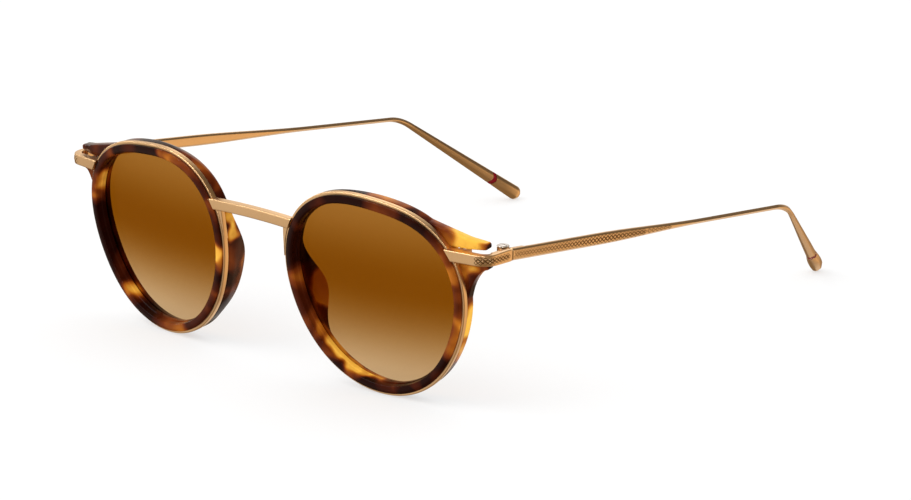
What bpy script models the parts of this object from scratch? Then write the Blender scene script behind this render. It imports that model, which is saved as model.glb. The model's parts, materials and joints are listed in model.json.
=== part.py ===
"""Folding sunglasses with round rims of acetate and metal, one object for each real piece.

The front faces -Y, the wearer's left is +X and the glasses stand open on the floor at Z = 0.
The origin lies on the floor, midway between the front and the tips of the temples.
Each eye has its own frame: u runs outward to the temple, v upward, and depth runs backward from
the face of the front ring. An outline angle is 0 at the temple, 90 at the top and 180 at the nose.
Offsets are measured outward from the edge of the sight opening.
"""

import math

import bmesh
import bpy
from mathutils import Matrix, Vector

MM = 0.001
SIDES = (("left", 1), ("right", -1))

# Sight openings and how the two eyes stand
LENS_WIDTH = 44.0 * MM
LENS_HEIGHT = 42.0 * MM
BRIDGE_SPAN = 24.2 * MM
FACE_WRAP = math.radians(5.8)
FRONT_TILT = math.radians(6.5)
# Order, cosine share and sine share of each wave that turns the circle into the panto outline
OUTLINE_WAVES = ((2, 0.021, -0.019), (3, 0.0075, 0.044), (4, -0.014, 0.0055))

# Clearance between pieces that are pressed, glued or soldered together
FIT_GAP = 0.1 * MM

# Front ring of acetate: its face, its visible side and the sleeve that reaches back to the lens
RING_FACE = 2.1 * MM
RING_SIDE = 0.72 * MM
RING_SLEEVE = 1.1 * MM
RING_INNER_ROUND = 0.55 * MM
RING_OUTER_ROUND = 0.25 * MM
RING_INNER_DRAFT = 0.3 * MM

# Metal rim band round the ring, split where the lock closes it
BAND_DEPTH = 1.33 * MM
BAND_PROUD = 0.4 * MM
BAND_ROUND = 0.2 * MM
BAND_SPLIT = 0.2 * MM

# Lens
LENS_SEAT_DEPTH = 2.9 * MM
LENS_THICKNESS = 1.5 * MM
LENS_DOME = 1.9 * MM
LENS_FLAT_EDGE = 1.5 * MM

# Rear rim of acetate
REAR_INSET = 0.15 * MM
REAR_LIP = 0.5 * MM
REAR_LIP_OFFSET = 0.1 * MM
REAR_FRONT_ROUND = 0.25 * MM
REAR_BACK_BEVEL = 0.8 * MM
REAR_BROW_BEVEL = 0.9 * MM
REAR_BROW_ANGLES = (80.0, 116.0, 146.0)

# Nose pad, a fin of the rear rim that leans over the back of the lens
PAD_REACH = 4.6 * MM
PAD_LEAN = 2.25 * MM
PAD_EDGE = 1.0 * MM
PAD_SWELL = 0.35 * MM
PAD_ANGLES = (152.0, 192.0, 229.0)

# Two-lobed wing of the rear rim at the temple corner
WING_REACH = 7.6 * MM
WING_UPPER_LOBE = 1.5 * MM
WING_LOWER_LOBE = 1.0 * MM
WING_TOP_SLOPE = 0.235
WING_SWEEP = 0.9 * MM
WING_ROUND = 0.3 * MM
WING_INSET = 0.15 * MM
WING_ROOT_ANGLE = -10.0
WING_HOLLOW = 4.3 * MM
WING_HOLLOW_DROP = 1.3 * MM
SLOT_ROOM = 0.55 * MM

# Bridge bar and its gussets
BRIDGE_ANGLE = 150.0
BRIDGE_HEIGHT = 2.45 * MM
BRIDGE_DEPTH = 2.0 * MM
BRIDGE_ARCH = 0.3 * MM
BRIDGE_ROUND = 0.3 * MM
GUSSET_SWEEP = 20.0
GUSSET_TOP_WIDTH = 2.0 * MM
GUSSET_END_WIDTH = 0.45 * MM
GUSSET_DEPTH = 1.1 * MM

# End pieces, level bars from the rims back to the hinges
END_ANGLE = 30.3
END_START_HEIGHT = 2.6 * MM
END_HEIGHT = 2.45 * MM
END_DEPTH = 2.2 * MM
END_HEADING = math.radians(10.0)
END_BEND_RADIUS = 4.0 * MM
END_ROUND = 0.25 * MM
END_SETBACK = 10.2 * MM
END_REACH = 9.2 * MM

# Closing block of the split rim and its screw
LOCK_HEIGHT = 2.4 * MM
LOCK_WIDTH = 2.4 * MM
LOCK_DEPTH = 1.9 * MM
LOCK_ROOM = 0.3 * MM
LOCK_SCREW_RADIUS = 0.45 * MM
LOCK_HEAD_RADIUS = 0.75 * MM
LOCK_HEAD_HEIGHT = 0.45 * MM

# Hinge
HINGE_RADIUS = 1.35 * MM
HINGE_SIDE_KNUCKLE = 0.65 * MM
HINGE_MIDDLE_KNUCKLE = 1.2 * MM
HINGE_FRONT_LEAF = 3.1 * MM
HINGE_TEMPLE_LEAF = 4.2 * MM
HINGE_LEAF_THICKNESS = 0.9 * MM
HINGE_LEAF_HEIGHT = 2.2 * MM
HINGE_SCREW_RADIUS = 0.5 * MM
HINGE_HEAD_RADIUS = 1.4 * MM
HINGE_HEAD_HEIGHT = 0.45 * MM

# Temples
TEMPLE_HEIGHT = 2.75 * MM
TEMPLE_THICKNESS = 1.35 * MM
TEMPLE_ROD = 1.15 * MM
TEMPLE_BAND_LENGTH = 30.0 * MM
TEMPLE_TAPER_LENGTH = 42.0 * MM
TEMPLE_STRAIGHT = 101.0 * MM
TEMPLE_FALL = math.radians(6.0)
TEMPLE_TOE_IN = math.radians(1.5)
EAR_BEND_RADIUS = 16.0 * MM
EAR_DROP = math.radians(35.0)
EAR_TURN_IN = math.radians(22.5)
EAR_TURN_LENGTH = 12.0 * MM
PADDLE_HEIGHT = 3.7 * MM
PADDLE_THICKNESS = 2.5 * MM
PADDLE_BEVEL = 0.62 * MM
TIP_LENGTH = 9.5 * MM
TIP_SWELL = 0.7 * MM
TIP_RING_WIDTH = 1.2 * MM
TENON_HEIGHT = 1.5 * MM
TENON_THICKNESS = 0.9 * MM
TENON_LENGTH = 5.0 * MM

# Fineness of the round shapes
OUTLINE_STEPS = 72
SCREW_STEPS = 20
KNUCKLE_STEPS = 16

# Derived places, shared by the pieces
EYE_X = (LENS_WIDTH + BRIDGE_SPAN) / 2
BAND_OFFSET = RING_FACE + BAND_PROUD
BAND_START = RING_SIDE + FIT_GAP
BAND_END = BAND_START + BAND_DEPTH
BAND_INNER = RING_SLEEVE + FIT_GAP
REAR_OFFSET = BAND_OFFSET - REAR_INSET
REAR_FRONT = BAND_END + FIT_GAP
REAR_LIP_DEPTH = LENS_SEAT_DEPTH + LENS_THICKNESS + FIT_GAP
REAR_BACK = REAR_LIP_DEPTH + REAR_LIP
WALL_GAP_RING = RING_FACE + FIT_GAP
WALL_GAP_BAND = BAND_OFFSET + FIT_GAP
HALF_WIDTH = EYE_X + LENS_WIDTH / 2 + END_REACH
HINGE_X = HALF_WIDTH - TEMPLE_THICKNESS - FIT_GAP - HINGE_RADIUS


def clear_scene():
    """Empties the open file of its objects."""
    for item in list(bpy.data.objects):
        bpy.data.objects.remove(item, do_unlink=True)


def make_material(name, colour, roughness, metallic, alpha=1.0):
    """A Principled material with one plain colour."""
    material = bpy.data.materials.new(name)
    material.use_nodes = True
    shader = material.node_tree.nodes["Principled BSDF"]
    shader.inputs["Base Color"].default_value = (*colour, 1.0)
    shader.inputs["Roughness"].default_value = roughness
    shader.inputs["Metallic"].default_value = metallic
    shader.inputs["Alpha"].default_value = alpha
    material.diffuse_color = (*colour, alpha)
    return material


def smooth(x):
    """0 below 0, 1 above 1, and an even cosine ramp between."""
    x = min(max(x, 0.0), 1.0)
    return 0.5 - 0.5 * math.cos(math.pi * x)


def bump(angle, angles):
    """Rises from the first of three angles to the second and falls to the third."""
    start, peak, end = angles
    if angle <= peak:
        return smooth((angle - start) / (peak - start))
    return smooth((end - angle) / (end - peak))


def raw_outline(angle):
    """Outline of the opening before it is scaled to its width and height."""
    turn = math.radians(angle)
    radius = 1.0
    for order, cosine, sine in OUTLINE_WAVES:
        radius += cosine * math.cos(order * turn) + sine * math.sin(order * turn)
    return radius * math.cos(turn), radius * math.sin(turn)


RAW_POINTS = [raw_outline(angle) for angle in range(360)]
RAW_LEFT = min(point[0] for point in RAW_POINTS)
RAW_RIGHT = max(point[0] for point in RAW_POINTS)
RAW_LOW = min(point[1] for point in RAW_POINTS)
RAW_HIGH = max(point[1] for point in RAW_POINTS)


def opening_point(angle):
    """Point (u, v) on the edge of the sight opening."""
    u, v = raw_outline(angle)
    u = (u - (RAW_LEFT + RAW_RIGHT) / 2) / (RAW_RIGHT - RAW_LEFT) * LENS_WIDTH
    v = (v - (RAW_LOW + RAW_HIGH) / 2) / (RAW_HIGH - RAW_LOW) * LENS_HEIGHT
    return Vector((u, v))


def outline_point(angle, offset):
    """Point (u, v) at an outward offset from the edge of the sight opening."""
    along = opening_point(angle + 0.5) - opening_point(angle - 0.5)
    outward = Vector((along.y, -along.x)).normalized()
    return opening_point(angle) + outward * offset


def wall_u(v, offset, inner_side=False):
    """The u at which the offset outline passes the height v, on the temple or the nose side."""
    low, high = (90.0, 270.0) if inner_side else (-90.0, 90.0)
    rising = not inner_side
    for _ in range(48):
        middle = (low + high) / 2
        if (outline_point(middle, offset).y < v) == rising:
            low = middle
        else:
            high = middle
    return outline_point(low, offset).x


def eye_frame(side):
    """Placement of an eye in the frame of the front."""
    return Matrix.Translation((side * EYE_X, 0, 0)) @ Matrix.Rotation(side * FACE_WRAP, 4, "Z")


def eye_vector(side, u, v, depth):
    """A place in the eye's frame as a vector of that frame."""
    return Vector((side * u, depth, v))


FRONT_TURN = Matrix.Rotation(FRONT_TILT, 4, "X")


def level_point(side, u, v, depth):
    """A place in the eye's frame, in level axes about the middle of the front."""
    return FRONT_TURN @ eye_frame(side) @ eye_vector(side, u, v, depth)


def front_point(side, u, v, depth):
    """A place in the eye's frame, in the axes of the front."""
    return eye_frame(side) @ eye_vector(side, u, v, depth)


def add_object(name, mesh_data, material, parent):
    """Makes an object from a bmesh, closed and facing outward, and parents it."""
    bmesh.ops.recalc_face_normals(mesh_data, faces=mesh_data.faces)
    mesh = bpy.data.meshes.new(name)
    mesh_data.to_mesh(mesh)
    mesh_data.free()
    mesh.shade_smooth()
    mesh.set_sharp_from_angle(angle=math.radians(35))
    item = bpy.data.objects.new(name, mesh)
    bpy.context.scene.collection.objects.link(item)
    if material is not None:
        mesh.materials.append(material)
    item.parent = parent
    return item


def add_empty(name, parent=None, location=(0, 0, 0), rotation=(0, 0, 0)):
    """An empty that places what is parented to it."""
    item = bpy.data.objects.new(name, None)
    bpy.context.scene.collection.objects.link(item)
    item.parent = parent
    item.location = location
    item.rotation_euler = rotation
    return item


def skin(sections, closed):
    """Joins equal sections of points one after another; an open row gets ends made of strips."""
    mesh_data = bmesh.new()
    rows = [[mesh_data.verts.new(point) for point in section] for section in sections]
    count = len(rows[0])
    last = len(rows) if closed else len(rows) - 1
    for index in range(last):
        here, there = rows[index], rows[(index + 1) % len(rows)]
        for corner in range(count):
            beside = (corner + 1) % count
            mesh_data.faces.new((here[corner], here[beside], there[beside], there[corner]))
    if not closed:
        for row in (rows[0], rows[-1]):
            for corner in range(count // 2 - 1):
                mesh_data.faces.new((row[corner], row[corner + 1], row[-2 - corner], row[-1 - corner]))
    return mesh_data


def boolean(item, cutter, operation):
    """Applies one exact boolean to an object and removes the second object."""
    modifier = item.modifiers.new(operation.title(), "BOOLEAN")
    modifier.operation = operation
    modifier.solver = "EXACT"
    modifier.object = cutter
    cutter.hide_render = True
    cutter.display_type = "WIRE"
    graph = bpy.context.evaluated_depsgraph_get()
    mesh = bpy.data.meshes.new_from_object(item.evaluated_get(graph))
    item.modifiers.remove(modifier)
    item.data = mesh
    mesh.name = item.name
    mesh.shade_smooth()
    mesh.set_sharp_from_angle(angle=math.radians(35))
    bpy.data.objects.remove(cutter, do_unlink=True)


def rim_piece(name, side, section, material, parent, split_angle=None):
    """A rim whose cross-section, given by angle as (offset, depth) pairs, runs round the opening."""
    closed = split_angle is None
    if closed:
        angles = [360.0 * step / OUTLINE_STEPS for step in range(OUTLINE_STEPS)]
    else:
        half_split = math.degrees(BAND_SPLIT / (LENS_WIDTH + LENS_HEIGHT) * 2)
        span = 360.0 - 2 * half_split
        first = split_angle + half_split
        angles = [first + span * step / OUTLINE_STEPS for step in range(OUTLINE_STEPS + 1)]
    sections = []
    for angle in angles:
        points = []
        for offset, depth in section(angle % 360.0):
            place = outline_point(angle, offset)
            points.append(eye_vector(side, place.x, place.y, depth))
        sections.append(points)
    return add_object(name, skin(sections, closed), material, parent)


def ring_section(_angle):
    """Front ring: rounded face, short side, and the sleeve that holds the lens from the front."""
    sleeve_end = LENS_SEAT_DEPTH - FIT_GAP
    inner = RING_INNER_ROUND
    outer = RING_OUTER_ROUND
    return (
        (-RING_INNER_DRAFT, sleeve_end),
        (0.0, inner),
        (inner * 0.3, inner * 0.3),
        (inner, 0.0),
        (RING_FACE - outer, 0.0),
        (RING_FACE, outer),
        (RING_FACE, RING_SIDE),
        (RING_SLEEVE, RING_SIDE),
        (RING_SLEEVE, sleeve_end),
    )


def band_section(_angle):
    """Metal band with softened outer corners."""
    return (
        (BAND_INNER, BAND_START),
        (BAND_OFFSET - BAND_ROUND, BAND_START),
        (BAND_OFFSET, BAND_START + BAND_ROUND),
        (BAND_OFFSET, BAND_END - BAND_ROUND),
        (BAND_OFFSET - BAND_ROUND, BAND_END),
        (BAND_INNER, BAND_END),
    )


def rear_section(angle):
    """Rear rim with the lens rebate, the bevelled back and, at the nose, the pad."""
    pad = bump(angle, PAD_ANGLES)
    brow = bump(angle, REAR_BROW_ANGLES)
    side_end = REAR_BACK - REAR_BACK_BEVEL - REAR_BROW_BEVEL * brow
    edge_offset = REAR_OFFSET - REAR_BACK_BEVEL * 0.75 - PAD_LEAN * pad * pad
    edge_depth = REAR_BACK + PAD_REACH * pad
    outer_corner = Vector((edge_offset + PAD_EDGE * 0.35 - REAR_BROW_BEVEL * 0.4 * brow,
                           edge_depth - PAD_EDGE * 0.25 - REAR_BROW_BEVEL * 0.3 * brow))
    inner_corner = Vector((edge_offset - PAD_EDGE * 0.65, edge_depth - PAD_EDGE * 0.35 * pad))
    side_corner = Vector((REAR_OFFSET, side_end))
    lip_corner = Vector((REAR_LIP_OFFSET, REAR_BACK))
    outer_swell = (side_corner + outer_corner) / 2 + Vector((PAD_SWELL * pad, 0))
    inner_swell = (inner_corner + lip_corner) / 2 + Vector((PAD_SWELL * 0.6 * pad, 0))
    return (
        (BAND_INNER, REAR_FRONT),
        (REAR_OFFSET - REAR_FRONT_ROUND, REAR_FRONT),
        (REAR_OFFSET, REAR_FRONT + REAR_FRONT_ROUND),
        side_corner,
        outer_swell,
        outer_corner,
        (edge_offset - REAR_BROW_BEVEL * 0.4 * brow, edge_depth),
        inner_corner,
        inner_swell,
        lip_corner,
        (REAR_LIP_OFFSET, REAR_LIP_DEPTH),
        (BAND_INNER, REAR_LIP_DEPTH),
    )


def end_level():
    """Height of the level end pieces above the middle of the front, in level axes."""
    place = outline_point(END_ANGLE, WALL_GAP_RING)
    return level_point(1, place.x, place.y, 0.0).z


def slot_limits():
    """Lower and upper v of the slot between the wing's lobes, round the level end piece."""
    depth = (REAR_FRONT + REAR_BACK) / 2
    tip_u = LENS_WIDTH / 2 + WING_REACH
    zero = level_point(1, tip_u, 0.0, depth).z
    middle = (end_level() - zero) / math.cos(FRONT_TILT)
    half = END_HEIGHT / 2 + SLOT_ROOM
    return middle - half, middle + half


def wing_lobe(side, rows):
    """A lobe from rows of (v, u); each row runs from inside the rim out to its u."""
    tip_u = LENS_WIDTH / 2 + WING_REACH
    root_offset = (BAND_INNER + REAR_OFFSET) / 2
    root_u = LENS_WIDTH / 2 + REAR_OFFSET
    sections = []
    for v, outer_u in rows:
        inner_u = wall_u(v, root_offset)
        inner_u = min(inner_u, outer_u - 2 * WING_ROUND)
        sweep = WING_SWEEP * smooth((outer_u - root_u) / (tip_u - root_u))
        front = REAR_FRONT + WING_INSET
        back = REAR_BACK - WING_INSET - REAR_BACK_BEVEL / 4
        corner_u = outer_u - WING_ROUND
        sections.append([
            eye_vector(side, inner_u, v, front),
            eye_vector(side, corner_u, v, front + sweep),
            eye_vector(side, outer_u, v, front + sweep + WING_ROUND),
            eye_vector(side, outer_u, v, back + sweep - WING_ROUND),
            eye_vector(side, corner_u, v, back + sweep),
            eye_vector(side, inner_u, v, back),
        ])
    return skin(sections, closed=False)


def upper_lobe_rows():
    """Rows of the upper lobe: a straight top edge from the tip up to where it meets the rim."""
    slot_top = slot_limits()[1]
    tip_u = LENS_WIDTH / 2 + WING_REACH
    tip_v = slot_top + WING_UPPER_LOBE
    rows = [(slot_top, tip_u - WING_ROUND), (slot_top + WING_ROUND, tip_u), (tip_v - WING_ROUND, tip_u)]
    rise = LENS_HEIGHT / 100
    v = tip_v
    outer_u = tip_u - WING_ROUND
    while outer_u > wall_u(v, REAR_OFFSET - WING_ROUND) and v < LENS_HEIGHT / 2:
        rows.append((v, outer_u))
        v += rise
        outer_u -= rise / WING_TOP_SLOPE
    rows.append((v, outer_u))
    return rows


def lower_lobe_rows():
    """Rows of the lower lobe: a hollow curve from the rim out to the lower tip."""
    slot_low = slot_limits()[0]
    tip_u = LENS_WIDTH / 2 + WING_REACH
    root = outline_point(WING_ROOT_ANGLE, REAR_OFFSET - WING_ROUND)
    tip = Vector((tip_u - WING_ROUND, slot_low - WING_LOWER_LOBE))
    pull = tip - Vector((WING_HOLLOW, WING_HOLLOW_DROP))
    rows = []
    steps = 12
    for step in range(steps + 1):
        t = step / steps
        place = root * (1 - t) ** 2 + pull * (2 * t * (1 - t)) + tip * t ** 2
        rows.append((place.y, place.x))
    rows.append((slot_low - WING_LOWER_LOBE + WING_ROUND, tip_u))
    rows.append((slot_low - WING_ROUND, tip_u))
    rows.append((slot_low, tip_u - WING_ROUND))
    return rows


def make_rear_rim(name, side, material, parent):
    """Rear rim with its pad, joined with the two lobes of the wing."""
    rim = rim_piece(name, side, rear_section, material, parent)
    for rows in (upper_lobe_rows(), lower_lobe_rows()):
        lobe = add_object("lobe", wing_lobe(side, rows), None, parent)
        boolean(rim, lobe, "UNION")
    return rim


def make_lens(name, side, material, parent):
    """Domed lens with a flat edge that sits between the sleeve and the rear lip."""
    inner_offset = RING_SLEEVE - LENS_FLAT_EDGE
    angles = [360.0 * step / OUTLINE_STEPS for step in range(OUTLINE_STEPS)]
    mesh_data = bmesh.new()

    def loop(offset, share, depth):
        dome = LENS_DOME * (1 - share * share)
        points = [outline_point(angle, offset) * share for angle in angles]
        return [mesh_data.verts.new(eye_vector(side, p.x, p.y, depth - dome)) for p in points]

    def face(depth):
        loops = [loop(RING_SLEEVE, 1.0, depth)]
        loops += [loop(inner_offset, share, depth) for share in (1.0, 0.8, 0.55, 0.28)]
        centre = mesh_data.verts.new(eye_vector(side, 0, 0, depth - LENS_DOME))
        for outer, inner in zip(loops, loops[1:]):
            for index in range(OUTLINE_STEPS):
                beside = (index + 1) % OUTLINE_STEPS
                mesh_data.faces.new((outer[index], outer[beside], inner[beside], inner[index]))
        for index in range(OUTLINE_STEPS):
            beside = (index + 1) % OUTLINE_STEPS
            mesh_data.faces.new((loops[-1][index], loops[-1][beside], centre))
        return loops[0]

    front = face(LENS_SEAT_DEPTH)
    back = face(LENS_SEAT_DEPTH + LENS_THICKNESS)
    for index in range(OUTLINE_STEPS):
        beside = (index + 1) % OUTLINE_STEPS
        mesh_data.faces.new((front[index], front[beside], back[beside], back[index]))
    return add_object(name, mesh_data, material, parent)


def bar_profile(depth, height, corner, step_depth):
    """Cross-section (back, up) of a bar with cut corners and a point at the step of the rims."""
    half = height / 2
    return (
        (0.0, half - corner),
        (corner, half),
        (step_depth, half),
        (depth - corner, half),
        (depth, half - corner),
        (depth, corner - half),
        (depth - corner, -half),
        (step_depth, -half),
        (corner, -half),
        (0.0, corner - half),
    )


def make_bridge(name, material, parent):
    """Bridge bar between the two bands, with a gusset under it down the side of each rim."""
    middle_v = outline_point(BRIDGE_ANGLE, WALL_GAP_BAND).y
    start_u = wall_u(middle_v, WALL_GAP_BAND, inner_side=True)
    front_y = front_point(1, start_u, 0, 0).y + FIT_GAP
    profile = bar_profile(BRIDGE_DEPTH, BRIDGE_HEIGHT, BRIDGE_ROUND, RING_SIDE)

    def end_x(back, up):
        wall = WALL_GAP_RING if back < RING_SIDE else WALL_GAP_BAND
        u = wall_u(middle_v + up, wall, inner_side=True)
        depth = (front_y + back - u * math.sin(FACE_WRAP)) / math.cos(FACE_WRAP)
        return front_point(1, u, 0, depth).x

    ends = [end_x(back, up) for back, up in profile]
    steps = 14
    sections = []
    for step in range(steps + 1):
        share = 2 * step / steps - 1
        lift = BRIDGE_ARCH * (1 - share * share)
        sections.append([
            Vector((x * share, front_y + back, middle_v + up + lift))
            for x, (back, up) in zip(ends, profile)
        ])
    bridge = add_object(name, skin(sections, closed=False), material, parent)
    for side_name, side in SIDES:
        gusset = add_object("gusset_" + side_name, gusset_web(side), None, parent)
        boolean(bridge, gusset, "UNION")
    return bridge


def gusset_web(side):
    """Web on the outer wall of a rim, wide under the bar and narrow at its lower end."""
    inner = WALL_GAP_BAND + GUSSET_END_WIDTH * 0.05
    front = BAND_START + FIT_GAP
    back = front + GUSSET_DEPTH
    steps = 10
    sections = []
    for step in range(steps + 1):
        share = step / steps
        angle = BRIDGE_ANGLE + GUSSET_SWEEP * (share - 0.08)
        width = GUSSET_END_WIDTH + (GUSSET_TOP_WIDTH - GUSSET_END_WIDTH) * (1 - share) ** 1.5
        outer = WALL_GAP_BAND + width
        section = []
        for offset, depth in ((inner, front), (outer, front), (outer, back), (inner, back)):
            place = outline_point(angle, offset)
            section.append(front_point(side, place.x, place.y, depth))
        sections.append(section)
    return skin(sections, closed=False)


def joint_place():
    """Place of the left hinge joint's centre line in level axes: its x, y and height."""
    place = outline_point(END_ANGLE, WALL_GAP_RING)
    start = level_point(1, place.x, place.y, 0.0)
    return Vector((HINGE_X, start.y + END_SETBACK, start.z))


def end_path():
    """Plan path of the outer face of the left end piece: (place, heading, share) triples."""
    joint = joint_place()
    place = outline_point(END_ANGLE, WALL_GAP_BAND)
    start = level_point(1, place.x, place.y, 0.0)
    heading = END_HEADING
    centre_x = HALF_WIDTH - END_BEND_RADIUS
    line = Vector((math.cos(heading), math.sin(heading)))
    run = (centre_x - start.x + END_BEND_RADIUS * math.sin(heading)) / line.x
    bend_start = Vector((start.x, start.y)) + line * run
    centre = bend_start + Vector((-line.y, line.x)) * END_BEND_RADIUS
    path = [(Vector((start.x, start.y)) + line * run * share, heading) for share in (0.35, 0.7, 1.0)]
    steps = 8
    for step in range(1, steps + 1):
        turn = heading + (math.pi / 2 - heading) * step / steps
        outward = Vector((math.sin(turn), -math.cos(turn)))
        path.append((centre + outward * END_BEND_RADIUS, turn))
    last_y = joint.y - FIT_GAP / 2
    half_way = (path[-1][0].y + last_y) / 2
    path.append((Vector((HALF_WIDTH, half_way)), math.pi / 2))
    path.append((Vector((HALF_WIDTH, last_y)), math.pi / 2))
    return path


def make_end_piece(name, side, material, parent):
    """Bar from the wall of the rim outward, round the bend and back to the hinge joint."""
    joint = joint_place()
    start_v = outline_point(END_ANGLE, WALL_GAP_RING).y
    first = []
    for back, up in bar_profile(END_DEPTH, END_START_HEIGHT, END_ROUND, RING_SIDE):
        wall = WALL_GAP_RING if back < RING_SIDE else WALL_GAP_BAND
        first.append(level_point(1, wall_u(start_v + up, wall), start_v + up, back))
    sections = [first]
    path = end_path()
    for index, (place, heading) in enumerate(path):
        share = (index + 1) / len(path)
        depth = END_DEPTH + (TEMPLE_THICKNESS - END_DEPTH) * smooth((share - 0.2) / 0.6)
        height = END_HEIGHT + (TEMPLE_HEIGHT - END_HEIGHT) * smooth((share - 0.4) / 0.6)
        inward = Vector((-math.sin(heading), math.cos(heading)))
        step_depth = min(RING_SIDE, depth / 2)
        section = []
        for back, up in bar_profile(depth, height, END_ROUND, step_depth):
            point = place + inward * back
            section.append(Vector((point.x, point.y, joint.z + up)))
        sections.append(section)
    for section in sections:
        for point in section:
            point.x *= side
    return add_object(name, skin(sections, closed=False), material, parent)


def turned(profile, steps, centre):
    """A turned solid about the vertical through the centre, from (radius, height) pairs."""
    mesh_data = bmesh.new()
    rows = []
    for radius, height in profile:
        row = []
        for step in range(steps):
            turn = 2 * math.pi * step / steps
            spot = Vector((radius * math.cos(turn), radius * math.sin(turn), height))
            row.append(mesh_data.verts.new(centre + spot))
        rows.append(row)
    for here, there in zip(rows, rows[1:]):
        for index in range(steps):
            beside = (index + 1) % steps
            mesh_data.faces.new((here[index], here[beside], there[beside], there[index]))
    mesh_data.faces.new(rows[0])
    mesh_data.faces.new(rows[-1][::-1])
    return mesh_data


def prism(outline, low, high):
    """A plan outline raised from one height to another."""
    mesh_data = bmesh.new()
    base = [mesh_data.verts.new((x, y, low)) for x, y in outline]
    top = [mesh_data.verts.new((x, y, high)) for x, y in outline]
    for index in range(len(outline)):
        beside = (index + 1) % len(outline)
        mesh_data.faces.new((base[index], base[beside], top[beside], top[index]))
    mesh_data.faces.new(base)
    mesh_data.faces.new(top)
    return mesh_data


def box(low, high):
    """A plain block between two corners."""
    outline = ((low.x, low.y), (high.x, low.y), (high.x, high.y), (low.x, high.y))
    return prism(outline, low.z, high.z)


def lock_place():
    """Centre of the closing block in the eye's frame, as u, v, depth."""
    slot_low, slot_high = slot_limits()
    middle_v = (slot_low + slot_high) / 2 + LOCK_HEAD_HEIGHT / 2
    ends = (middle_v - LOCK_HEIGHT / 2, middle_v + LOCK_HEIGHT / 2)
    start_u = max(wall_u(v, REAR_OFFSET) for v in ends)
    u = start_u + FIT_GAP + LOCK_WIDTH / 2
    depth = END_DEPTH + LOCK_ROOM + LOCK_DEPTH / 2
    return u, middle_v, depth


def make_lock(side, name, screw_name, material, screw_material, parent):
    """Closing block behind the end piece, with the screw that passes up through it."""
    centre = eye_vector(side, *lock_place())
    half = Vector((LOCK_WIDTH / 2, LOCK_DEPTH / 2, LOCK_HEIGHT / 2))
    block = add_object(name, box(centre - half, centre + half), material, parent)
    bore_radius = LOCK_SCREW_RADIUS + FIT_GAP
    bore = turned(((bore_radius, -LOCK_HEIGHT), (bore_radius, LOCK_HEIGHT)), SCREW_STEPS, centre)
    boolean(block, add_object("bore", bore, None, parent), "DIFFERENCE")
    shoulder = -LOCK_HEIGHT / 2 - FIT_GAP
    profile = (
        (LOCK_HEAD_RADIUS, shoulder - LOCK_HEAD_HEIGHT),
        (LOCK_HEAD_RADIUS, shoulder),
        (LOCK_SCREW_RADIUS, shoulder),
        (LOCK_SCREW_RADIUS, LOCK_HEIGHT / 2 - FIT_GAP),
    )
    add_object(screw_name, turned(profile, SCREW_STEPS, centre), screw_material, parent)


def knuckle_plan(arm_end):
    """Round eye about the axis with an arm that runs along +y into the leaf."""
    arm_inset = HINGE_LEAF_THICKNESS / 12
    arm_outer = HINGE_RADIUS - arm_inset
    arm_inner = HINGE_RADIUS - HINGE_LEAF_THICKNESS + arm_inset
    start = math.asin(arm_outer / HINGE_RADIUS)
    end = 2 * math.pi + math.asin(arm_inner / HINGE_RADIUS)
    points = [(arm_inner, arm_end), (arm_outer, arm_end)]
    for step in range(KNUCKLE_STEPS + 1):
        turn = start + (end - start) * step / KNUCKLE_STEPS
        points.append((HINGE_RADIUS * math.sin(turn), HINGE_RADIUS * math.cos(turn)))
    return points


def hinge_part(name, side, leaf_length, layers, lean, fall, material, parent, centre):
    """Knuckles on one leaf; the leaf runs backward, or forward where its length is negative."""
    leaf_sign = math.copysign(1.0, leaf_length)
    arm_end = HINGE_RADIUS + 2 * FIT_GAP
    half = HINGE_LEAF_HEIGHT / 2
    leaf_inner = HINGE_RADIUS - HINGE_LEAF_THICKNESS
    sections = []
    for y in (arm_end, arm_end + abs(leaf_length)):
        shift = Vector((side * y * math.tan(lean), 0, y * math.tan(fall)))
        section = []
        for x, z in ((leaf_inner, -half), (HINGE_RADIUS, -half), (HINGE_RADIUS, half), (leaf_inner, half)):
            section.append(centre + Vector((side * x, leaf_sign * y, z)) - shift)
        sections.append(section)
    part = add_object(name, skin(sections, closed=False), material, parent)
    eye_plan = [
        (centre.x + side * x, centre.y + leaf_sign * y)
        for x, y in knuckle_plan(arm_end + HINGE_LEAF_THICKNESS / 2)
    ]
    for low, high in layers:
        eye = prism(eye_plan, centre.z + low, centre.z + high)
        boolean(part, add_object("knuckle", eye, None, parent), "UNION")
    radius = HINGE_SCREW_RADIUS + FIT_GAP
    reach = HINGE_SIDE_KNUCKLE + HINGE_MIDDLE_KNUCKLE
    bore = turned(((radius, -reach), (radius, reach)), SCREW_STEPS, centre)
    boolean(part, add_object("bore", bore, None, parent), "DIFFERENCE")
    return part


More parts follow.
